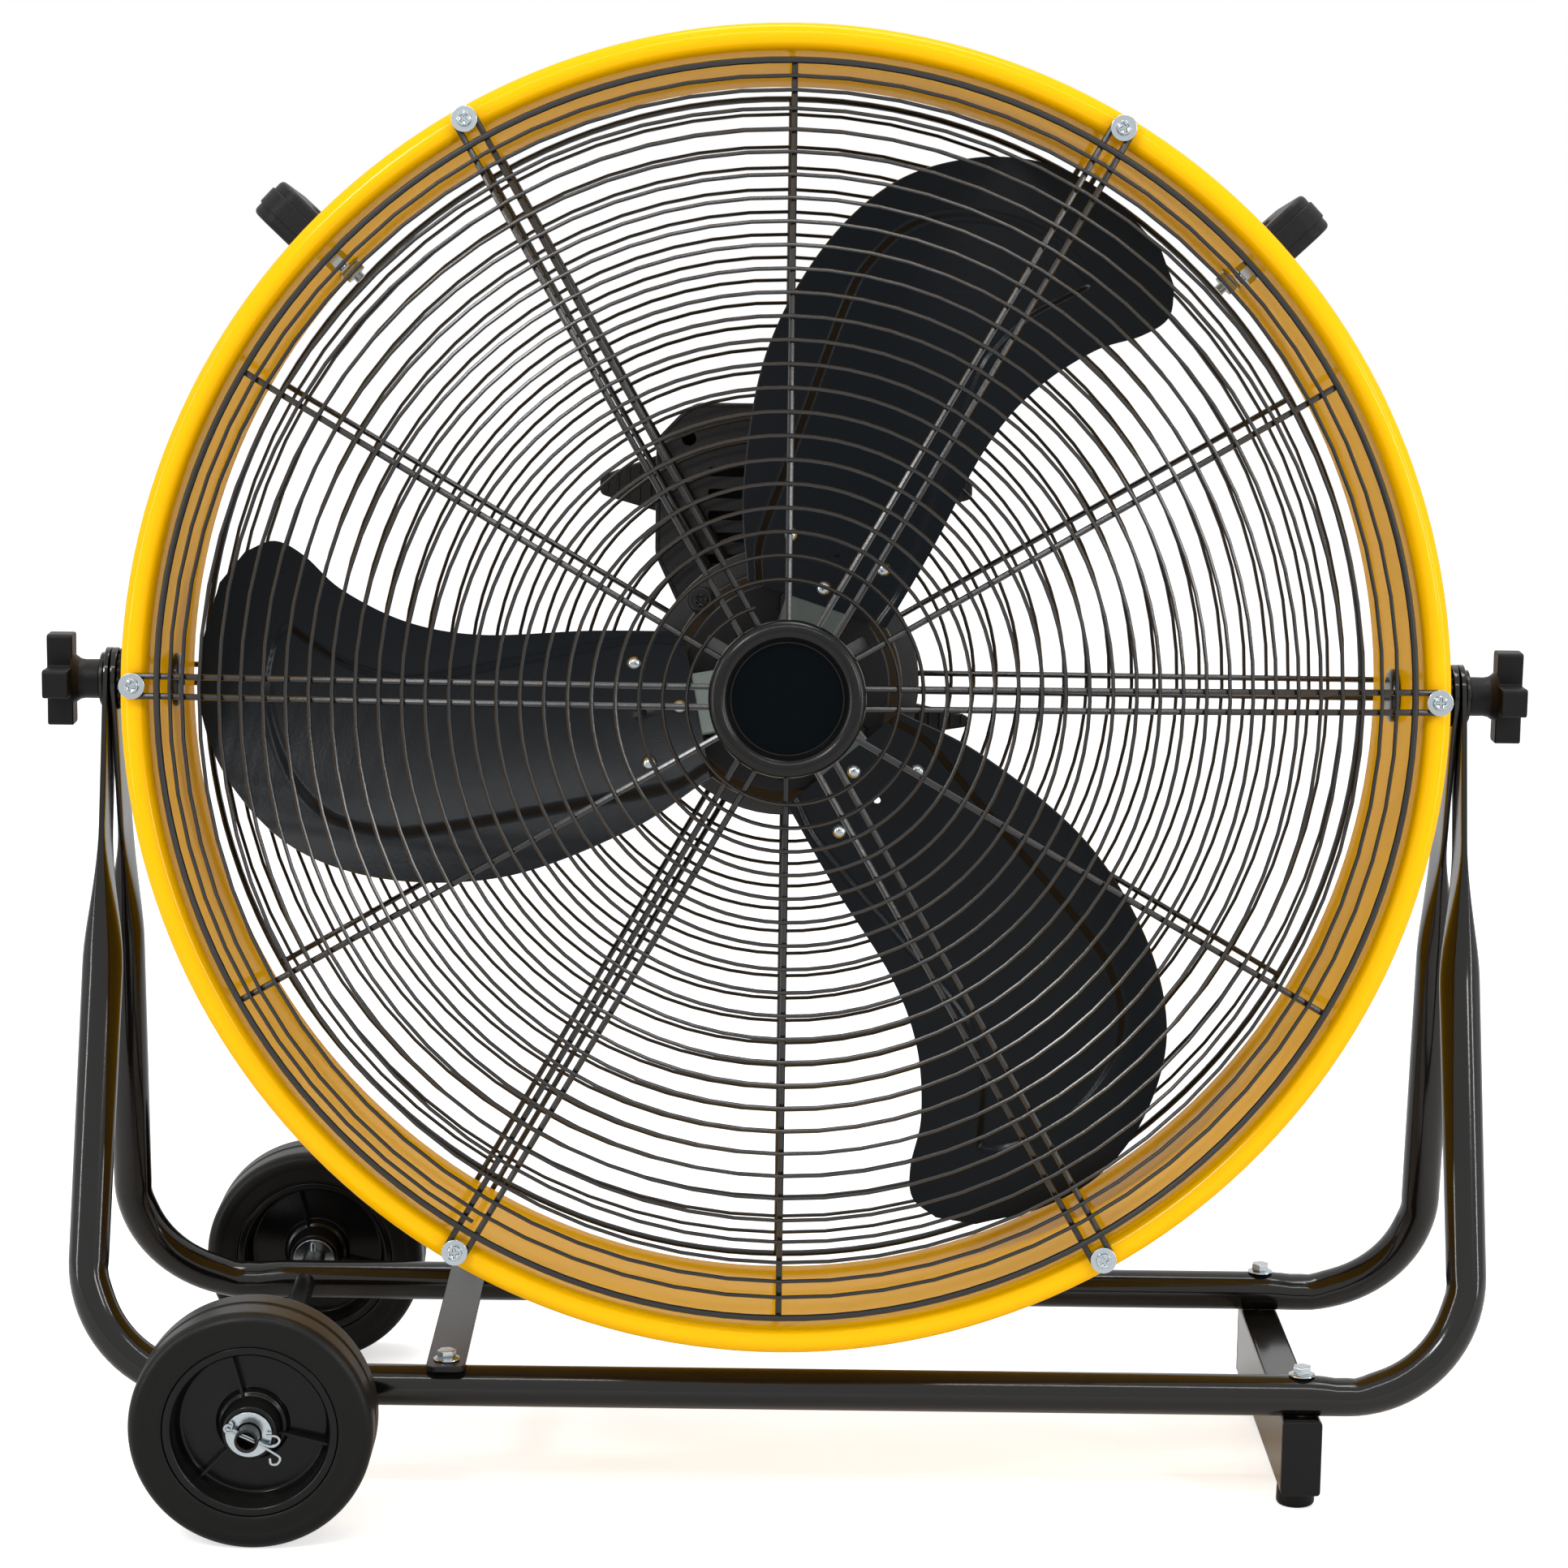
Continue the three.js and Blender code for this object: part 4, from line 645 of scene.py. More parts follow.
def leg_stations(eye_x):
    """One leg in the tube's own upright plane, from the eye down to the bottom run."""

    def station(x, z, turn, flat, wide=None):
        half = TUBE_R + (EYE_HALF_W - TUBE_R) * flat
        thick = TUBE_R + (EYE_HALF_T - TUBE_R) * flat
        place = at(x, 0, z) @ about("Y", turn)
        return place, thick, half if wide is None else wide, 1 - 0.68 * flat

    rows = []
    for share in (0.995, 0.97, 0.9, 0.78, 0.6, 0.35, 0):
        rows.append(station(eye_x, share * EYE_HALF_W, 0, 1, EYE_HALF_W * math.sqrt(1 - share**2)))
    for i in range(13):
        share = i / 12
        eased = share * share * (3 - 2 * share)
        x = eye_x + (LEG_TOP_X - eye_x) * eased
        rows.append(station(x, -EYE_LENGTH - SQUEEZE_LENGTH * share, 0, 1 - eased))
    for i in range(21):
        turn = 90 * i / 20
        a = math.radians(turn)
        x = LEG_X - BEND_R + BEND_R * math.cos(a)
        z = -LEG_DROP + BEND_R - BEND_R * math.sin(a)
        rows.append(dented(station(x, z, turn, 0), kink(turn, 6, 0.5) + kink(turn, 86, 0.9)))
    for reach, dent in ((6, 0.7), (12, 0.3), (20, 0)):
        rows.append(dented(station(LEG_X - BEND_R - reach, -LEG_DROP, 90, 0), dent))
    return rows


def frame_tube(side, eye_x):
    down = leg_stations(eye_x)
    mirror = Matrix.Scale(-1, 4, (1, 0, 0))
    up_again = [(mirror @ place, *rest) for place, *rest in reversed(down)]
    bm = bmesh.new()
    lofted(bm, down + up_again)
    return bm, at(0, 0, PIVOT_HEIGHT) @ about("X", side * LEG_LEAN)


for name, side, eye_x in (("front_frame_tube", -1, 354.6), ("rear_frame_tube", 1, 350.9)):
    bm, place = frame_tube(side, eye_x)
    made(bm, name.replace("frame", "bent"), "stand", TUBE_BLACK, name, place)

# %% [markdown]
# ## Drum
# The duct is one sheet rolled round, with a thick bead rolled over a wire at the front, a thinner
# one behind, and a pressed ridge between them. A cylinder with two rings laid on it would leave
# seams that the real sheet hasn't got. All of it shows in one profile, so that is spun once.

# %% Drum
DRUM_R = 322
DRUM_HALF = 91
SHEET = 1.5
BEAD_R = 7.1
REAR_BEAD_R = 4.5
RIDGE_Y = DRUM_HALF - 30

front_bead = arc(DRUM_R + BEAD_R, BEAD_R - DRUM_HALF, BEAD_R, 128, -180, 22)
rear_bead = arc(DRUM_R + REAR_BEAD_R, DRUM_HALF - REAR_BEAD_R, REAR_BEAD_R, 180, -125, 16)
outer = DRUM_R + SHEET
crest = outer + 1.8
ridge = [(outer, RIDGE_Y + 5), (crest, RIDGE_Y + 1.5), (crest, RIDGE_Y - 1.5), (outer, RIDGE_Y - 5)]
bm = bmesh.new()
turned(bm, [*front_bead, *rear_bead, *rounded(ridge, 1.5, closed=False)], steps=192, closed=True)
made(bm, "drum_skin", "drum", YELLOW, "drum_shell", DRUM, sharp=50)

# %% [markdown]
# ## Wire guards
# A guard has an outer ring, six hairpin spokes that loop round the screws, six single spokes and
# one long wire wound over them from the rim to the middle. Rings would be easier, but the real
# wire never closes, so it is one spiral here too. Its pitch opens up from the rim, so its radius
# falls by a little less than one pitch in the first turns. The spokes bow out towards the middle,
# and everything else follows them.

# %% Guard layout
RING_R = 316.5
SPOKE_R = 1.6
SPOKE_Y = DRUM_HALF + SPOKE_R + 0.3
PAIR_HALF = 5
BEAD_MID_R = DRUM_R + BEAD_R


def depth(radius, rise):
    return SPOKE_Y + rise * (1 - (min(radius, RING_R) / RING_R) ** 2)


def spun(radius, degrees, y):
    a = math.radians(degrees)
    return Vector((radius * math.cos(a), y, radius * math.sin(a)))


def spiral_radius(turns, pitch, tight=0.7, ease=1.5, gap=6.1):
    return RING_R - gap - pitch * (turns - tight * ease * (1 - math.exp(-turns / ease)))


# %% Guard frame
RING_WIRE_R = 1.7


def guard_frame(bm, face, rise, loop_r, hub_inner, hub_outer, plate_t):
    start_r = (hub_inner + hub_outer) / 2
    radii = [start_r + (RING_R - start_r) * i / 14 for i in range(15)]
    for angle in range(0, 360, 60):
        legs = [(r, PAIR_HALF) for r in (*radii, loop_r)]
        loop = arc(loop_r, 0, PAIR_HALF, 75, -75, 8)
        flat = [*legs, *loop, *[(r, -w) for r, w in reversed(legs)]]
        points = [about("Y", -angle) @ Vector((r, face * depth(r, rise), w)) for r, w in flat]
        strand(bm, points, SPOKE_R)
    for angle in range(30, 360, 60):
        strand(bm, [spun(r, angle, face * depth(r, rise)) for r in radii], SPOKE_R)
    ring_y = face * (SPOKE_Y + SPOKE_R + 0.9)
    strand(bm, [spun(RING_R, i * 2.5, ring_y) for i in range(144)], RING_WIRE_R, closed=True)
    middle = face * depth(start_r, rise)
    section = [(hub_inner, -plate_t), (hub_outer, -plate_t), (hub_outer, plate_t), (hub_inner, plate_t)]
    turned(bm, rounded(section, 0.8), closed=True, place=at(0, middle, 0))


# %% Spiral
SPIRAL_WIRE_R = 1.0
SPIRAL_START = 240


def guard_spiral(bm, face, rise, pitch, inner_r, steps=72):
    points, turns = [], 0
    while spiral_radius(turns, pitch) > inner_r:
        r = spiral_radius(turns, pitch)
        points.append(spun(r, SPIRAL_START - 360 * turns, face * (depth(r, rise) + SPOKE_R + 1.3)))
        turns += 1 / steps
    strand(bm, points, SPIRAL_WIRE_R)
    return turns


# %% Guards
for which, face, rise, loop_r, hub, pitch, inner_r in (
    ("front", -1, 45, BEAD_MID_R, (22, 37, 2), 11.8, 47),
    ("rear", 1, 10, DRUM_R + REAR_BEAD_R, (36, 74, 2), 12.4, 82),
):
    bm = bmesh.new()
    guard_frame(bm, face, rise, loop_r, *hub)
    guard = f"{which}_guard"
    made(bm, f"{guard}_wires", "drum", WIRE_BLACK, guard, DRUM, weighted=False)
    bm = bmesh.new()
    turns = guard_spiral(bm, face, rise, pitch, inner_r)
    spiral = f"{guard}_spiral"
    made(bm, f"{which}_spiral_wire", "drum", WIRE_BLACK, spiral, DRUM, weighted=False)
    print(which, "guard:", round(turns, 1), "turns")

# %% [markdown]
# ## Fasteners
# Three kinds hold the fan together: hexagon bolts with a flange, pan-head screws with a cross
# recess, and nuts with the thread's end showing. A recess could be cut with a Boolean, but a plate
# with a cross-shaped hole needs no repair afterwards. Each fastener has its seat at Z = 0.

# %% Bolts, screws and threads
def hexagon(radius):
    return arc(0, 0, radius, 0, 300, 5)


def threaded(bm, radius, start, end, place=HERE):
    """A shank along Y with the ridges of a thread."""
    count = max(2, round(abs(end - start) / 0.5))
    ridges = [(radius - 0.35 * (i % 2), start + (end - start) * i / count) for i in range(count + 1)]
    turned(bm, [(0, start), *ridges, (0, end)], steps=20, place=place)


def hex_bolt(bm, clamped, place, nut=True):
    flange = [(0, 0), (6.6, 0), (6.9, 0.3), (6.8, 0.7), (5.2, 1.4), (0, 1.4)]
    turned(bm, flange, steps=48, place=place @ ALONG_Z)
    pressed(bm, hexagon(5), 3.7, place @ at(0, 0, 1.3), edge=0.6)
    if nut:
        pressed(bm, hexagon(5.7), 4.8, place @ at(0, 0, -clamped - 4.8), edge=0.6)
    tip = -clamped - 9 if nut else -clamped + 4
    threaded(bm, 3, tip, 0, place @ ALONG_Z)


def cross_screw(bm, radius, height, place=HERE):
    """A domed head with a recess for a cross-shaped driver."""
    long, half = radius * 0.58, radius * 0.15
    quarter = [(half, half), (half, long), (-half, long)]
    cross = [tuple((about("Z", 90 * i) @ Vector((x, y, 0))).xy) for i in range(4) for x, y in quarter]
    wide, floor_z = radius * 0.94, height * 0.3
    turned(bm, [(0, 0), (wide, 0), (wide, floor_z), (0, floor_z)], place=place @ ALONG_Z)
    pressed(bm, circle(radius, 32), height, place, edge=height * 0.42, holes=[cross])


# %% Guard screws
for i in range(6):
    bm = bmesh.new()
    washer = [(2, 0), (6.6, 0), (6.6, 1.2), (2, 1.2)]
    turned(bm, rounded(washer, 0.35), steps=48, closed=True, place=ALONG_Z)
    cross_screw(bm, 3.9, 2.8, at(0, 0, 1.2))
    threaded(bm, 2, -16.4, 0.2, ALONG_Z)
    middle = spun(BEAD_MID_R, 60 * i, -(SPOKE_Y + SPOKE_R + 0.3))
    place = DRUM @ Matrix.Translation(middle) @ about("X", 90) @ about("Z", 24 * i)
    made(bm, f"cross_head_screw_{i + 1}", "drum", ZINC, f"guard_screw_{i + 1}", place)

# %% [markdown]
# ## Centre cap
# The cap covers the middle of the front guard. It is one turned moulding with a round lip, so it
# is spun from a profile, which keeps the lip smooth. Its sunk face is a separate dark disc with a
# finish of its own, because a film is flatter and duller than the plastic round it.

# %% Centre cap
CAP_BACK = depth(22, 45) + 2.3
bm = bmesh.new()
lip = arc(33.9, CAP_BACK + 11.6, 4.9, 0, 180, 24)
turned(
    bm,
    [(0, CAP_BACK), (37.4, CAP_BACK), (38.2, CAP_BACK + 0.5), (38.8, CAP_BACK + 1.4), *lip]
    + [(28.5, CAP_BACK + 10), (28, CAP_BACK + 9.5), (0, CAP_BACK + 9.5)],
    steps=96,
)
made(bm, "cap_moulding", "drum", CAP_PLASTIC, "centre_cap", DRUM @ about("X", 180))
bm = bmesh.new()
plate = [(0, 9.5), (27.1, 9.5), (27.3, 9.8), (27.1, 10.05), (0, 10.05)]
turned(bm, [(r, CAP_BACK + y) for r, y in plate], steps=96)
made(bm, "cap_face_disc", "drum", FACE_DISC, (), DRUM @ about("X", 180))

# %% [markdown]
# ## Rotor
# A blade is a sheet bent to one curve across its width, with a sunk panel stamped into it. The
# panel's wall could be made with edge loops, but they would have to turn round the nose. So the
# sheet is a fine grid, and how deep a point lies follows from its distance to the panel's border,
# which keeps the stamped wall smooth all the way. Three domed rivets hold the blade to the
# galvanised plate behind.

# %% Blade outline
BLADE_T = 1.5
HUB_Y = -20
STEP_SHOULDER = 1.2
STEP_WALL = 4.6
PANEL_DEPTH = 2.4
BLADE_ANGLES = (70, 190, 310)
RIVETS = ((56, 0), (76, 26), (76, -26))
PILOT_HOLE = Vector((75, 0))
PILOT_HOLE_R = 2
BLADE_SPANS = 150
BLADE_LANES = 110
LEADING_EDGE = [(48, -38), (95, -46), (152, -53), (190, -66), (221, -88), (238, -109), (252, -119)]
LEADING_EDGE += [(268, -116)]
TRAILING_EDGE = [(46, 38), (90, 57), (155, 70), (215, 63), (262, 41), (291, 6), (303, -32), (299, -68)]
TRAILING_EDGE += [(284, -102)]
PANEL_BORDER = [(48, -36), (70, -41), (105, -41), (182, -39), (204, -43), (225, -54), (240, -67)]
PANEL_BORDER += [(253, -77), (265, -64), (272, -35), (266, 0), (250, 26), (225, 40), (195, 45)]
PANEL_BORDER += [(105, 44), (66, 43), (46, 36)]


# %% Panel border
def evenly(points, count):
    """The path through the points, cut into equal lengths."""
    lengths = [0.0]
    for a, b in zip(points, points[1:]):
        lengths.append(lengths[-1] + (b - a).length)
    result, i = [], 0
    for step in range(count):
        target = lengths[-1] * step / (count - 1)
        while i < len(points) - 2 and lengths[i + 1] < target:
            i += 1
        share = (target - lengths[i]) / (lengths[i + 1] - lengths[i])
        result.append(points[i].lerp(points[i + 1], share))
    return result


border = evenly(eased_path(PANEL_BORDER, 12), 1200)
border_tree = KDTree(len(border) - 1)
inward = []
for i, (a, b) in enumerate(zip(border, border[1:])):
    border_tree.insert((*a, 0), i)
    inward.append(Vector((a.y - b.y, b.x - a.x)))
border_tree.balance()
print("panel border:", len(border), "points")


# %% Blade surface
def blade_y(w):
    return HUB_Y - 0.36 * w - 0.0014 * w * w


def stamped(point):
    """How far the sheet stands forward of the sunk panel at a place on the blade."""
    nearest, i, distance = border_tree.find((*point, 0))
    inside = inward[i].dot(point - nearest.xy) > 0
    share = min(max(distance - STEP_SHOULDER, 0) / STEP_WALL, 1) if inside else 0
    return PANEL_DEPTH * (1 - share * share * (3 - 2 * share))


def sheet(bm, spans, lanes, where):
    """A grid whose points are put where the function of two shares says."""
    verts = bmesh.ops.create_grid(bm, x_segments=spans, y_segments=lanes, size=1)["verts"]
    for v in verts:
        v.co = where((v.co.x + 1) / 2, (v.co.y + 1) / 2)
    return verts


def thicken(bm, verts, thickness):
    faces = {f: None for v in verts if v.is_valid for f in v.link_faces}
    bmesh.ops.solidify(bm, geom=list(faces), thickness=thickness)


leading = evenly(eased_path(LEADING_EDGE, 12), BLADE_SPANS + 1)
trailing = evenly(eased_path(TRAILING_EDGE, 12), BLADE_SPANS + 1)


def on_blade(along, across):
    i = round(along * BLADE_SPANS)
    point = leading[i].lerp(trailing[i], across)
    return point.x, blade_y(point.y) - stamped(point), point.y


def drill(bm, verts, centre, radius):
    """Opens a round hole in a grid of small faces."""
    near = [v for v in verts if (Vector((v.co.x, v.co.z)) - centre).length < radius * 0.95]
    rim = {n for v in near for f in v.link_faces for n in f.verts} - set(near)
    for v in rim:
        aside = (Vector((v.co.x, v.co.z)) - centre).normalized() * radius
        v.co.x, v.co.z = centre + aside
    bmesh.ops.delete(bm, geom=near, context="VERTS")


def on_sheet(u, w, behind=0.0):
    """A place on the blade's surface whose Z points forward, square to the sheet."""
    lean = math.degrees(math.atan(0.36 + 0.0028 * w))
    return at(u, blade_y(w) + behind, w) @ about("X", 90 + lean)


# %% Blades and rivets
RIVET_HEAD = [(0, 3), (1.3, 2.85), (2.5, 2.35), (3.4, 1.5), (4, 0.4), (4.1, -0.4), (2.2, -0.6)]
RIVET_HEAD += [(2.2, -6), (0, -6)]
RIVET_TAIL = [(0, -7.4), (2.6, -6.9), (3.4, -6), (3.4, -5.4), (0, -5.4)]
for i, angle in enumerate(BLADE_ANGLES):
    place = DRUM @ about("Y", -angle)
    bm = bmesh.new()
    verts = sheet(bm, BLADE_SPANS, BLADE_LANES, on_blade)
    drill(bm, verts, PILOT_HOLE, PILOT_HOLE_R)
    thicken(bm, verts, BLADE_T)
    made(bm, f"swept_blade_{i + 1}", "rotor", BLADE_BLACK, f"blade_{i + 1}", place)
    bm = bmesh.new()
    for u, w in RIVETS:
        seat = on_sheet(u, w) @ ALONG_Z
        turned(bm, RIVET_HEAD, steps=32, place=seat)
        turned(bm, RIVET_TAIL, steps=24, place=seat)
    made(bm, f"blade_rivets_{i + 1}", "rotor", ZINC, (), place)

# %% [markdown]
# The hub plate has an arm behind each blade, bent to the same curve, and a turned boss that holds
# the shaft. The arm could be cut from a flat plate and bent, but the blade's own surface gives the
# curve, so a second grid is laid a plate's thickness behind it.

# %% Hub plate
ARM_T = 3
ARM_SETBACK = 3.05
ARM_CORNER_R = 8
bm = bmesh.new()
for angle in BLADE_ANGLES:

    def on_arm(along, across):
        u = 12 + 72 * along
        half = 15.5 + 18.5 * min(max(u - 47, 0) / 12, 1) ** 2
        corner = max(u - 76, 0)
        half -= ARM_CORNER_R - math.sqrt(ARM_CORNER_R**2 - corner * corner)
        w = half * (2 * across - 1)
        y = blade_y(w) + ARM_SETBACK - ARM_T / 2
        return about("Y", -angle) @ Vector((u, y, w))

    verts = sheet(bm, 60, 44, on_arm)
    hole = (about("Y", -angle) @ Vector((PILOT_HOLE.x, 0, 0))).xz
    drill(bm, verts, hole, 3)
    thicken(bm, verts, ARM_T)
boss = [(6.3, -28), (15, -28), (17, -26.6), (17, -16), (21, -14.5), (21, -4), (17, -2), (6.3, -2)]
turned(bm, rounded(boss, 0.8), steps=64, closed=True)
# Its dark finish is painted shade from the blades and the cap in front of it.
made(bm, "galvanised_hub_plate", "rotor", GALVANISED_IN_SHADE, "hub_spider", DRUM)

# %% Shaft
bm = bmesh.new()
turned(bm, [(0, -40.3), (5.2, -40.3), (6, -39.4), (6, 102.3), (0, 102.3)], steps=40)
pressed(bm, hexagon(10.2), 7, at(0, -35.3, 0) @ ALONG_Y, edge=0.9)
cage = rounded([(6, 33.3), (24, 33.3), (30, 35), (30, 71), (24, 73), (6, 73)], 1)
turned(bm, cage, steps=64, closed=True)
made(bm, "shaft_and_cage", "rotor", STEEL, "motor_shaft", DRUM)

# %% [markdown]
# ## Motor
# Two cast end bells hold the stator between them. The front one has cooling slots in its face and
# four lugs for the long screws. Slots could be cut out of a turned shape, but a face plate with
# holes between turned rings gives the same casting without a Boolean.

# %% Front bell
MOTOR_FRONT = 6
LUG_ANGLES = (45, 135, 225, 315)
bm = bmesh.new()
nose = [(6.6, -4), (13.2, -4), (14, -3.2), (17, 0), (19, 0), (19, 4), (14, 4), (14, 12), (6.6, 12)]
turned(bm, rounded(nose, 0.5), steps=64, closed=True, place=at(0, MOTOR_FRONT, 0))
slot = rounded([(35, -3.5), (49, -3.5), (49, 3.5), (35, 3.5)], 1.5)
slots = [[tuple((about("Z", 30 + 60 * i) @ Vector((x, y, 0))).xy) for x, y in slot] for i in range(6)]
face_place = at(0, MOTOR_FRONT, 0) @ ALONG_Y
pressed(bm, circle(54.5, 96), 4, face_place, edge=0.4, holes=[circle(16, 48), *slots])
wall = [(53.8, 0), (55, 0.2), (61.2, 7.2), (62, 9), (62, 24), (59, 24), (59, 10), (53.8, 4)]
turned(bm, rounded(wall, 0.8), steps=96, closed=True, place=at(0, MOTOR_FRONT, 0))
for angle in LUG_ANGLES:
    lug = at(*spun(64, angle, MOTOR_FRONT + 16)) @ about("X", 90)
    post = rounded([(0, 0), (7.5, 0), (7.5, 10), (0, 10)], 1, closed=False)
    turned(bm, post, steps=32, place=lug @ ALONG_Z)
made(bm, "cast_front_bell", "drum", BELL_BLACK, "motor_front_bell", DRUM)

# %% Motor screws, stator and rear bell
bm = bmesh.new()
for angle in LUG_ANGLES:
    seat = at(*spun(64, angle, MOTOR_FRONT + 6)) @ about("X", 90) @ about("Z", angle)
    turned(bm, [(0, 0), (6, 0), (6.2, 0.5), (5.8, 1.3), (0, 1.3)], steps=40, place=seat @ ALONG_Z)
    cross_screw(bm, 3.9, 2.7, seat @ at(0, 0, 1.2))
made(bm, "motor_through_screws", "drum", DARK_STEEL, (), DRUM)
bm = bmesh.new()
stack = [(61 - 0.5 * (i % 2), 30.3 + 45.7 * i / 30) for i in range(31)]
turned(bm, [(31, 30.3), *stack, (31, 76)], steps=96, closed=True)
made(bm, "stator_stack", "drum", STEEL, "motor_stator", DRUM)
bm = bmesh.new()
rear_bell = [(6.6, -4), (14, -4), (17, 0), (54, 0), (62, 8), (62, 24), (59, 24), (59, 10), (53, 4)]
rear_bell += [(14, 4), (14, 12), (6.6, 12)]
turned(bm, rounded(rear_bell, 0.9), steps=96, closed=True)
rear_place = DRUM @ at(0, 100.3, 0) @ about("X", 180)
made(bm, "cast_rear_bell", "drum", BELL_BLACK, "motor_rear_bell", rear_place)

# %% [markdown]
# ## Control housing
# A moulded box behind the rear guard, with vents towards the fan and ribbed ears at its sides. A
# solid box would look the same from far off, but through the vents it has to be hollow. So it has
# a rim, a front and a back wall, and stands on four pillars. The speed knob is on its back.

# %% Control housing
BOX_FRONT = 110.2
BOX_BACK = 152.2


def upright_at(start, thick):
    """Stands an outline of (x, z) points up, with its thickness along Y."""
    return at(0, start + thick, 0) @ about("X", 90)


def box_outline(inset):
    right_side = [(56, 34), (72, 68), (72, 131.7), (58.5, 146.1), (50, 152)]
    left_side = [(-x, z) for x, z in reversed(right_side)]
    whole = [*right_side[2:], *left_side, *right_side[:2]]
    return rounded(shrunk(whole, inset), max(4 - inset, 1), steps=4)


def vent(z, reach=43, half=2.5):
    return rounded([(-reach, z - half), (reach, z - half), (reach, z + half), (-reach, z + half)], 1.6)


# %% Housing walls
bm = bmesh.new()
box_deep = BOX_BACK - BOX_FRONT
pressed(bm, box_outline(0), box_deep, upright_at(BOX_FRONT, box_deep), 1.2, [box_outline(3)])
vents = [vent(z) for z in range(54, 120, 12)]
corner_holes = [circle(3.8, 24, x, 132) for x in (-54, 54)]
pressed(bm, box_outline(1.9), 3, upright_at(BOX_FRONT + 0.3, 3), 0.4, [*vents, *corner_holes])
pressed(bm, box_outline(1.9), 3, upright_at(BOX_BACK - 3.3, 3), 0.4, [circle(5.4, 32, 0, 104)])
back_plate = [(58, -34), (72, -22), (72, 10), (58, 40), (-58, 40), (-72, 10), (-72, -22), (-58, -34)]
pressed(bm, rounded(back_plate, 5), 6, upright_at(BOX_BACK - 7, 6), 1)
pillar = rounded([(0, 104.9), (7, 104.9), (7, 148.2), (0, 148.2)], 0.8, closed=False)
for x, z in ((42, 51), (-42, 51), (48, -32), (-48, -32)):
    turned(bm, pillar, place=at(x, 0, z))

# %% Housing ears
for side in (-1, 1):
    for z, half in ((108, 17), (-22, 10)):
        ear = [(68, z - half), (104, z - half * 0.4), (104, z + half * 0.2), (68, z + half)]
        pressed(bm, rounded([(side * x, y) for x, y in ear], 3), 8, upright_at(BOX_BACK - 8, 8), 1.2)
        for x in range(76, 104, 6):
            high = half * (1 - 0.7 * (x - 68) / 36)
            block(bm, (1.6, 2, 1.7 * high), at(side * x, BOX_BACK - 8.4, z), 0.4)
made(bm, "moulded_housing", "drum", HOUSING_PLASTIC, "control_box", DRUM)

# %% [markdown]
# The speed knob is a turned body with ribs for the fingers and a raised bar that points to the
# setting. The cord gland is a ribbed nut on a threaded neck. Both could be cut from one shape, but
# turned bodies with small blocks round them are how such mouldings are drawn. The capacitor is a
# plain moulded case inside the box.

# %% Speed knob, cord gland and capacitor
bm = bmesh.new()
body = [(0, 0), (17, 0), (17, 2.6), (16, 3.6), (13.6, 5), (12, 11.4), (11.2, 12), (0, 12)]
turned(bm, rounded(body, 0.6, closed=False), steps=64, place=at(0, BOX_BACK + 0.3, 0))
for i in range(24):
    block(bm, (1.2, 5.6, 1.6), about("Y", 15 * i) @ at(12.9, BOX_BACK + 8.2, 0), 0.4)
block(bm, (4.4, 8, 29), at(0, BOX_BACK + 9.3, 0), 1.2)
turned(bm, [(0, BOX_BACK - 7), (5, BOX_BACK - 7), (5, BOX_BACK + 1), (0, BOX_BACK + 1)], steps=32)
made(bm, "turning_knob", "speed_control", PLASTIC, "speed_knob", DRUM @ at(0, 0, 104))
bm = bmesh.new()
nut = [(3.5, 19.7), (7.4, 19.7), (8.2, 20.4), (9.6, 23.6), (10, 24.6), (10, 33.7), (7, 33.7)]
nut += [(7, 41), (3.5, 41)]
turned(bm, rounded(nut, 0.5), steps=48, closed=True, place=ALONG_Z)
for i in range(12):
    block(bm, (1.2, 2.2, 7), about("Z", 30 * i) @ at(9.4, 0, 29), 0.4)
made(bm, "gland_nut", "drum", PLASTIC, "cord_gland", DRUM @ at(0, 131.2, 0))
bm = bmesh.new()
block(bm, (18, 16, 44), at(44, 140.9, 92), 2, segments=3)
made(bm, "capacitor_case", "drum", GLOSS_PLASTIC, "run_capacitor", DRUM)

# %% [markdown]
# ## Grips
# Each grip is a moulding on two feet. A raised band runs along it, which leaves a seam on both
# sides. A bent bar would be too even, so two plates of one outline are laid over each other, the
# narrower one a little larger. Its bolts go through the drum's wall, and their nuts show inside.

# %% Grips
def grip_outline(low):
    top = 367.5 - low
    arch = [(323.8, 34), (347, 34), (354, 27), (354, -27), (347, -34), (323.8, -34)]
    front = [(323.8, low - 58), (top - 8, low - 55), (top, low - 46)]
    return [*front, *[(x, -y) for x, y in reversed(front)], *arch]


for which, angle in (("right", 43), ("left", 137)):
    bm = bmesh.new()
    pressed(bm, rounded(grip_outline(0.9), 5, steps=5), 22, at(0, 0, -11), edge=2.6)
    pressed(bm, rounded(grip_outline(0), 5, steps=5), 10, at(0, 0, -5), edge=0.7)
    place = DRUM @ about("Y", -angle)
    made(bm, f"moulded_grip_{which}", "drum", PLASTIC, f"grip_{which}", place)
    for where, y in (("front", -45), ("rear", 45)):
        bm = bmesh.new()
        inside = at(0, y, 0) @ about("Y", 90)
        line = at(0, y, 0) @ ALONG_X
        turned(bm, [(3, 320.7), (7, 320.7), (7, 321.7), (3, 321.7)], closed=True, place=line)
        pressed(bm, hexagon(5.7), 5.4, inside @ at(0, 0, 315.3), edge=0.6)
        threaded(bm, 3, 312.3, 343, line)
        solid_name = f"grip_bolt_{which}_{where}"
        made(bm, f"{solid_name}_thread", "drum", ZINC, solid_name, place)

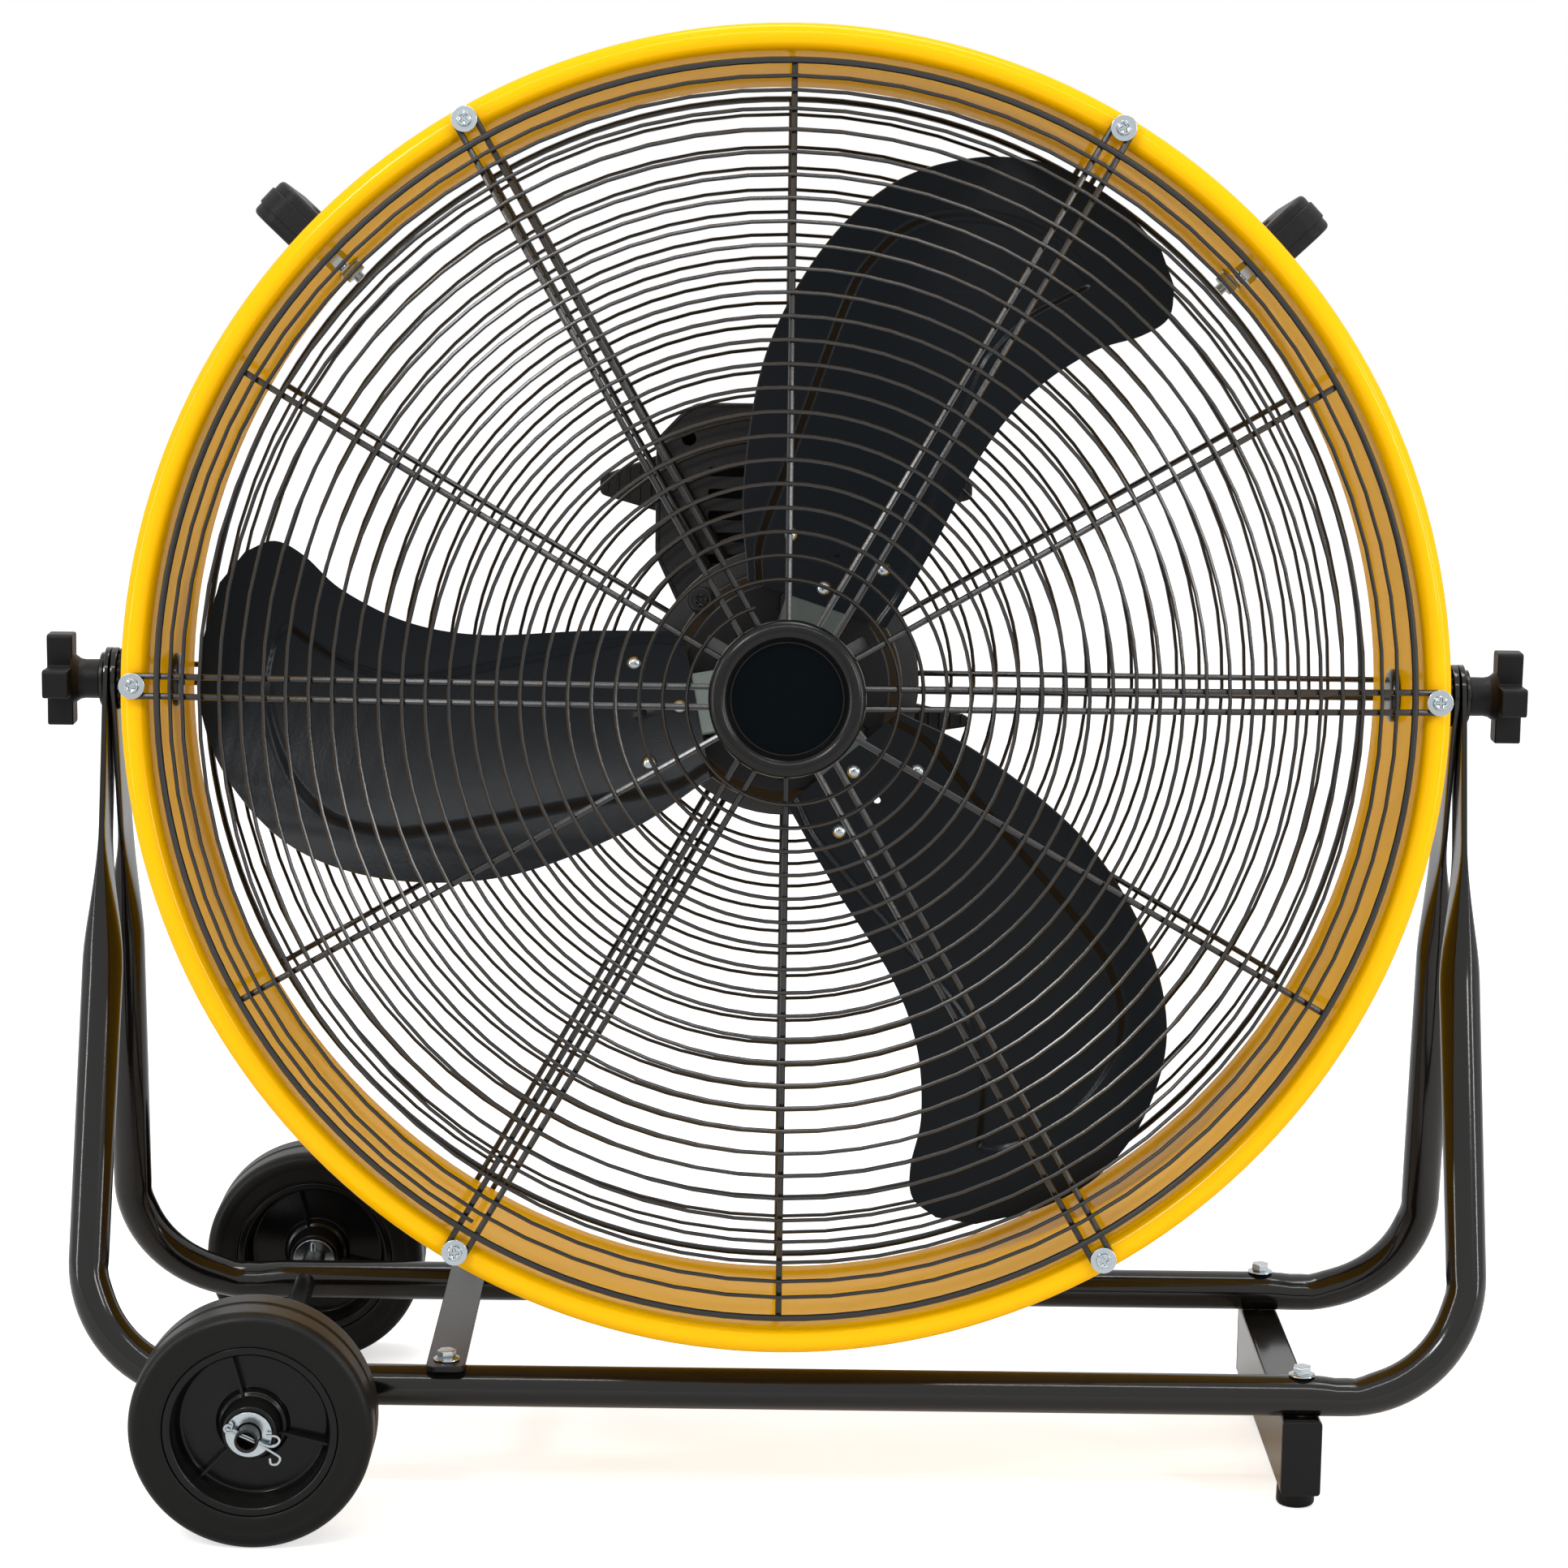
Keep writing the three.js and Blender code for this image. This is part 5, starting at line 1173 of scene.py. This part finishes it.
# %% [markdown]
# ## Pivots and clamp knobs
# From the inside out: a pad with the bolt, a stub with a toothed disc, the flattened tube ends, a
# washer and the star knob, which clamps them all. They could be mirrored from one side to the
# other, but a half turn keeps their faces the right way round, so the left side is the right side
# turned. The star is a plate with four arms on a turned hub.

# %% Pivots
PIVOT = at(0, 0, PIVOT_HEIGHT)


def star(reach, half):
    corner, root = half - 1.4, 0.6 - half
    arm = [(half, 1.2 - reach), (corner, -reach), (-corner, -reach), (-half, 1.2 - reach), (root, root)]
    return [tuple((about("Z", -90 * i) @ Vector((x, y, 0))).xy) for i in range(4) for x, y in arm]


for which, turn in (("right", 0), ("left", 180)):
    side = about("Z", turn)
    bm = bmesh.new()
    star_place = side @ at(372.9, 0, 0) @ about("Y", 90)
    pressed(bm, rounded(star(24, 7.5), 1.2), 13.5, star_place, edge=0.8)
    hub = [(0, 358.9), (9.9, 358.9), (10.3, 359.4), (10.2, 367), (10.7, 369.6), (12.4, 372)]
    hub += [(14, 373.6), (0, 373.6)]
    turned(bm, rounded(hub, 0.6, closed=False), steps=48, place=side @ ALONG_X)
    body, solid = f"{which}_clamp_knob", f"clamp_knob_{which}"
    made(bm, f"star_knob_{which}", body, PLASTIC, solid, PIVOT)
    bm = bmesh.new()
    washer = [(5.3, 356.6), (14, 356.6), (14, 358.6), (5.3, 358.6)]
    turned(bm, rounded(washer, 0.4), steps=56, closed=True, place=side @ ALONG_X)
    # The washer's dark steel is painted shade: a zinc washer that lies in shadow.
    made(bm, f"knob_side_washer_{which}", "stand", DARK_STEEL, f"knob_washer_{which}", PIVOT)
    bm = bmesh.new()
    teeth = [(15.2 + 0.8 * math.cos(20 * a), a) for a in (math.radians(2.25 * i) for i in range(160))]
    rim = [(r * math.cos(a), r * math.sin(a)) for r, a in teeth]
    pressed(bm, rim, 8.4, side @ at(340.5, 0, 0) @ about("Y", 90), edge=0.4, holes=[circle(5.3, 32)])
    stub = [(5.3, 323.8), (11, 323.8), (11, 341), (5.3, 341)]
    turned(bm, rounded(stub, 0.3), steps=48, closed=True, place=side @ ALONG_X)
    made(bm, f"toothed_stub_{which}", "drum", PLASTIC, f"toothed_disc_{which}", DRUM)
    bm = bmesh.new()
    pad = [(0, 316.6), (11.5, 316.6), (13.4, 317.4), (14, 318.8), (14, 320.6), (0, 320.6)]
    turned(bm, rounded(pad, 0.6, closed=False), steps=56, place=side @ ALONG_X)
    turned(bm, [(0, 320), (5, 320), (5, 378), (4.4, 378.6), (0, 378.6)], steps=32, place=side @ ALONG_X)
    made(bm, f"pivot_pad_{which}", "drum", TUBE_BLACK, f"pivot_bolt_{which}", DRUM)

# %% [markdown]
# ## Strap and foot bar
# A flat strap and a rectangular bar tie the two bottom tubes together. The bar is a welded hollow
# section, so its outline is extruded with a hole in it and not made a block. It is closed by
# plastic caps, and stands on two rubber feet.

# %% Strap and foot bar
STRAP_X = -171
FOOT_BAR_X = 272
FOOT_BAR_Z = 30.55
BOLT_Y = 93
bm = bmesh.new()
strap = [(10, -106), (10, 106), (-10, 106), (-10, -106)]
pressed(bm, rounded(strap, 6, steps=6), 3, at(STRAP_X, 0, 72.45), edge=0.6)
made(bm, "flat_strap", "stand", BELL_BLACK, "cross_strap")
bm = bmesh.new()
section = [(10.25, 20), (-10.25, 20), (-10.25, -20), (10.25, -20)]
inner = [(x - math.copysign(1.5, x), y - math.copysign(1.5, y)) for x, y in section]
bar_place = at(FOOT_BAR_X, -101, FOOT_BAR_Z) @ ALONG_Y
pressed(bm, rounded(section, 2.2, steps=5), 202, bar_place, 0.3, [rounded(inner, 1)])
made(bm, "rectangular_bar", "stand", TUBE_BLACK, "foot_bar")

# %% Bar caps, feet and bolts
for which, side in (("front", -1), ("rear", 1)):
    bm = bmesh.new()
    end = at(FOOT_BAR_X, side * 101.3, FOOT_BAR_Z)
    pressed(bm, rounded(section, 2.2, steps=5), 3, end @ about("X", -90 * side), edge=0.7)
    block(bm, (16.9, 5, 36.4), end @ at(0, -0.5 * side, 0), 0.6)
    made(bm, f"bar_end_cap_{which}", "stand", PLASTIC, f"foot_bar_cap_{which}")
    bm = bmesh.new()
    sole = [(0, 0), (8.2, 0), (9.4, 0.5), (10, 1.8), (9.8, 10.25), (5, 10.25), (5, 15), (0, 15)]
    turned(bm, rounded(sole, 0.7, closed=False), steps=48, place=ALONG_Z)
    pad_name, solid, place = f"rubber_foot_pad_{which}", f"rubber_foot_{which}", at(FOOT_BAR_X, side * 84, 0)
    made(bm, pad_name, "stand", TYRE, solid, place)
    bm = bmesh.new()
    hex_bolt(bm, 25.2, about("Z", 12), nut=False)
    place = at(STRAP_X, BOLT_Y * side, 75.75)
    made(bm, f"strap_flange_bolt_{which}", "stand", ZINC, f"strap_bolt_{which}", place)
    bm = bmesh.new()
    hex_bolt(bm, 23.7, about("Z", 20))
    place = at(FOOT_BAR_X, BOLT_Y * side, 72.45)
    made(bm, f"bar_flange_bolt_{which}", "stand", ZINC, f"foot_bar_bolt_{which}", place)

# %% [markdown]
# ## Wheels
# A wheel is a moulded hub with a dished web, three thin ribs and a rim, and a smooth tyre on it.
# Both are turned shapes, so half a profile is drawn and mirrored before it is spun, which keeps
# the two sides alike. A washer and a split pin keep the wheel on the axle, whose ends are hollow.

# %% Wheels
WHEEL = at(-263.5, 0, 61.5)
face = [(6.3, -20), (13, -20), (13.9, -19.2), (15, -8), (17.6, -6.6), (18.4, -2.6), (36.6, -2), (38.4, -4)]
face += [(39.2, -16.6), (40.4, -18.4), (44, -18.5)]
tread = [(44.3, -18.8), (46, -19.4), (52.5, -19.6), (54, -20), (55.5, -20), *arc(55.5, -14, 6, -80, -4, 8)]
tread += [(61.5, -2.6), (60.8, -1.4)]
for which, side in (("front", -1), ("rear", 1)):
    place = WHEEL @ at(0, 153 * side, 0)
    bm = bmesh.new()
    whole = rounded([*face, *[(r, -y) for r, y in reversed(face)]], 0.9)
    turned(bm, whole, steps=96, closed=True)
    for i in range(3):
        block(bm, (25.6, 17, 1.8), about("Y", -(106 + 120 * i)) @ at(26.8, 0, 0), 0.5)
    body = f"{which}_wheel"
    made(bm, f"dished_wheel_{which}", body, WHEEL_PLASTIC, f"wheel_{which}", place)
    bm = bmesh.new()
    whole = rounded([*tread, *[(r, -y) for r, y in reversed(tread)]], 0.5, steps=2)
    turned(bm, whole, steps=128, closed=True)
    made(bm, f"smooth_tyre_{which}", body, TYRE, f"tyre_{which}", place)
    bm = bmesh.new()
    washer = [(6.3, 0), (11.7, 0), (11.7, 2), (6.3, 2)]
    turned(bm, rounded(washer, 0.4), steps=56, closed=True, place=at(0, 174.3 * side - 1, 0))
    made(bm, f"axle_end_washer_{which}", "stand", ZINC, f"wheel_washer_{which}", WHEEL)

# %% Axle
bm = bmesh.new()
half_axle = [(0, -172), (4.4, -172), (4.4, -185.4), (4.9, -186), (5.6, -186), (6, -185.5)]
turned(bm, [*half_axle, *[(r, -y) for r, y in reversed(half_axle)]], steps=40)
made(bm, "hollow_end_axle", "stand", DARK_STEEL, "axle", WHEEL)
bm = bmesh.new()
for side in (-1, 1):
    stop = rounded([(5.9, -1), (11.7, -1), (11.7, 1), (5.9, 1)], 0.4)
    turned(bm, stop, steps=40, closed=True, place=at(0, 131.7 * side, 0))
    cross_pin = [(0, -11), (1.3, -11), (1.6, -10.7), (1.6, 10.7), (1.3, 11), (0, 11)]
    turned(bm, cross_pin, steps=16, place=at(0, 128.2 * side, 0) @ ALONG_Z)
made(bm, "inner_axle_stops", "stand", ZINC, (), WHEEL)

# %% [markdown]
# The pin is one wire with an eye at one end. Its two legs go through the axle side by side, and
# each is bent back into a hook. A few points for each leg and a smooth path through them show the
# bends as they are, which a row of arcs would make too even.

# %% Split pins
LEGS = (
    [(-8, 4.2), (-5, 2.4), (0, 0.2), (4.6, -2), (9, -4), (13, -4.4), (15.8, -1.8), (14.2, 0.7), (9, 1)],
    [(-8, 2.6), (-5, 1), (0, -1.2), (4.6, -3.4), (9, -5.6), (12, -7.4), (16, -10.4)]
    + [(14.6, -13.6), (11.6, -13.6), (11, -10.6)],
)
PIN_WIRE_R = 0.75
for which, side in (("front", -1), ("rear", 1)):
    bm = bmesh.new()
    for leg in LEGS:
        strand(bm, eased_path([(x, 0, z) for x, z in leg], 6), PIN_WIRE_R)
    eye = [(-9.6 + 2 * x, 0, 4.4 + 2 * z) for x, z in arc(0, 0, 1, 0, 345, 23)]
    strand(bm, eye, PIN_WIRE_R, closed=True)
    place = WHEEL @ at(0, 179 * side, 0) @ about("Z", 0 if side < 0 else 180)
    made(bm, f"split_pin_{which}", "stand", ZINC, f"wheel_clip_{which}", place)
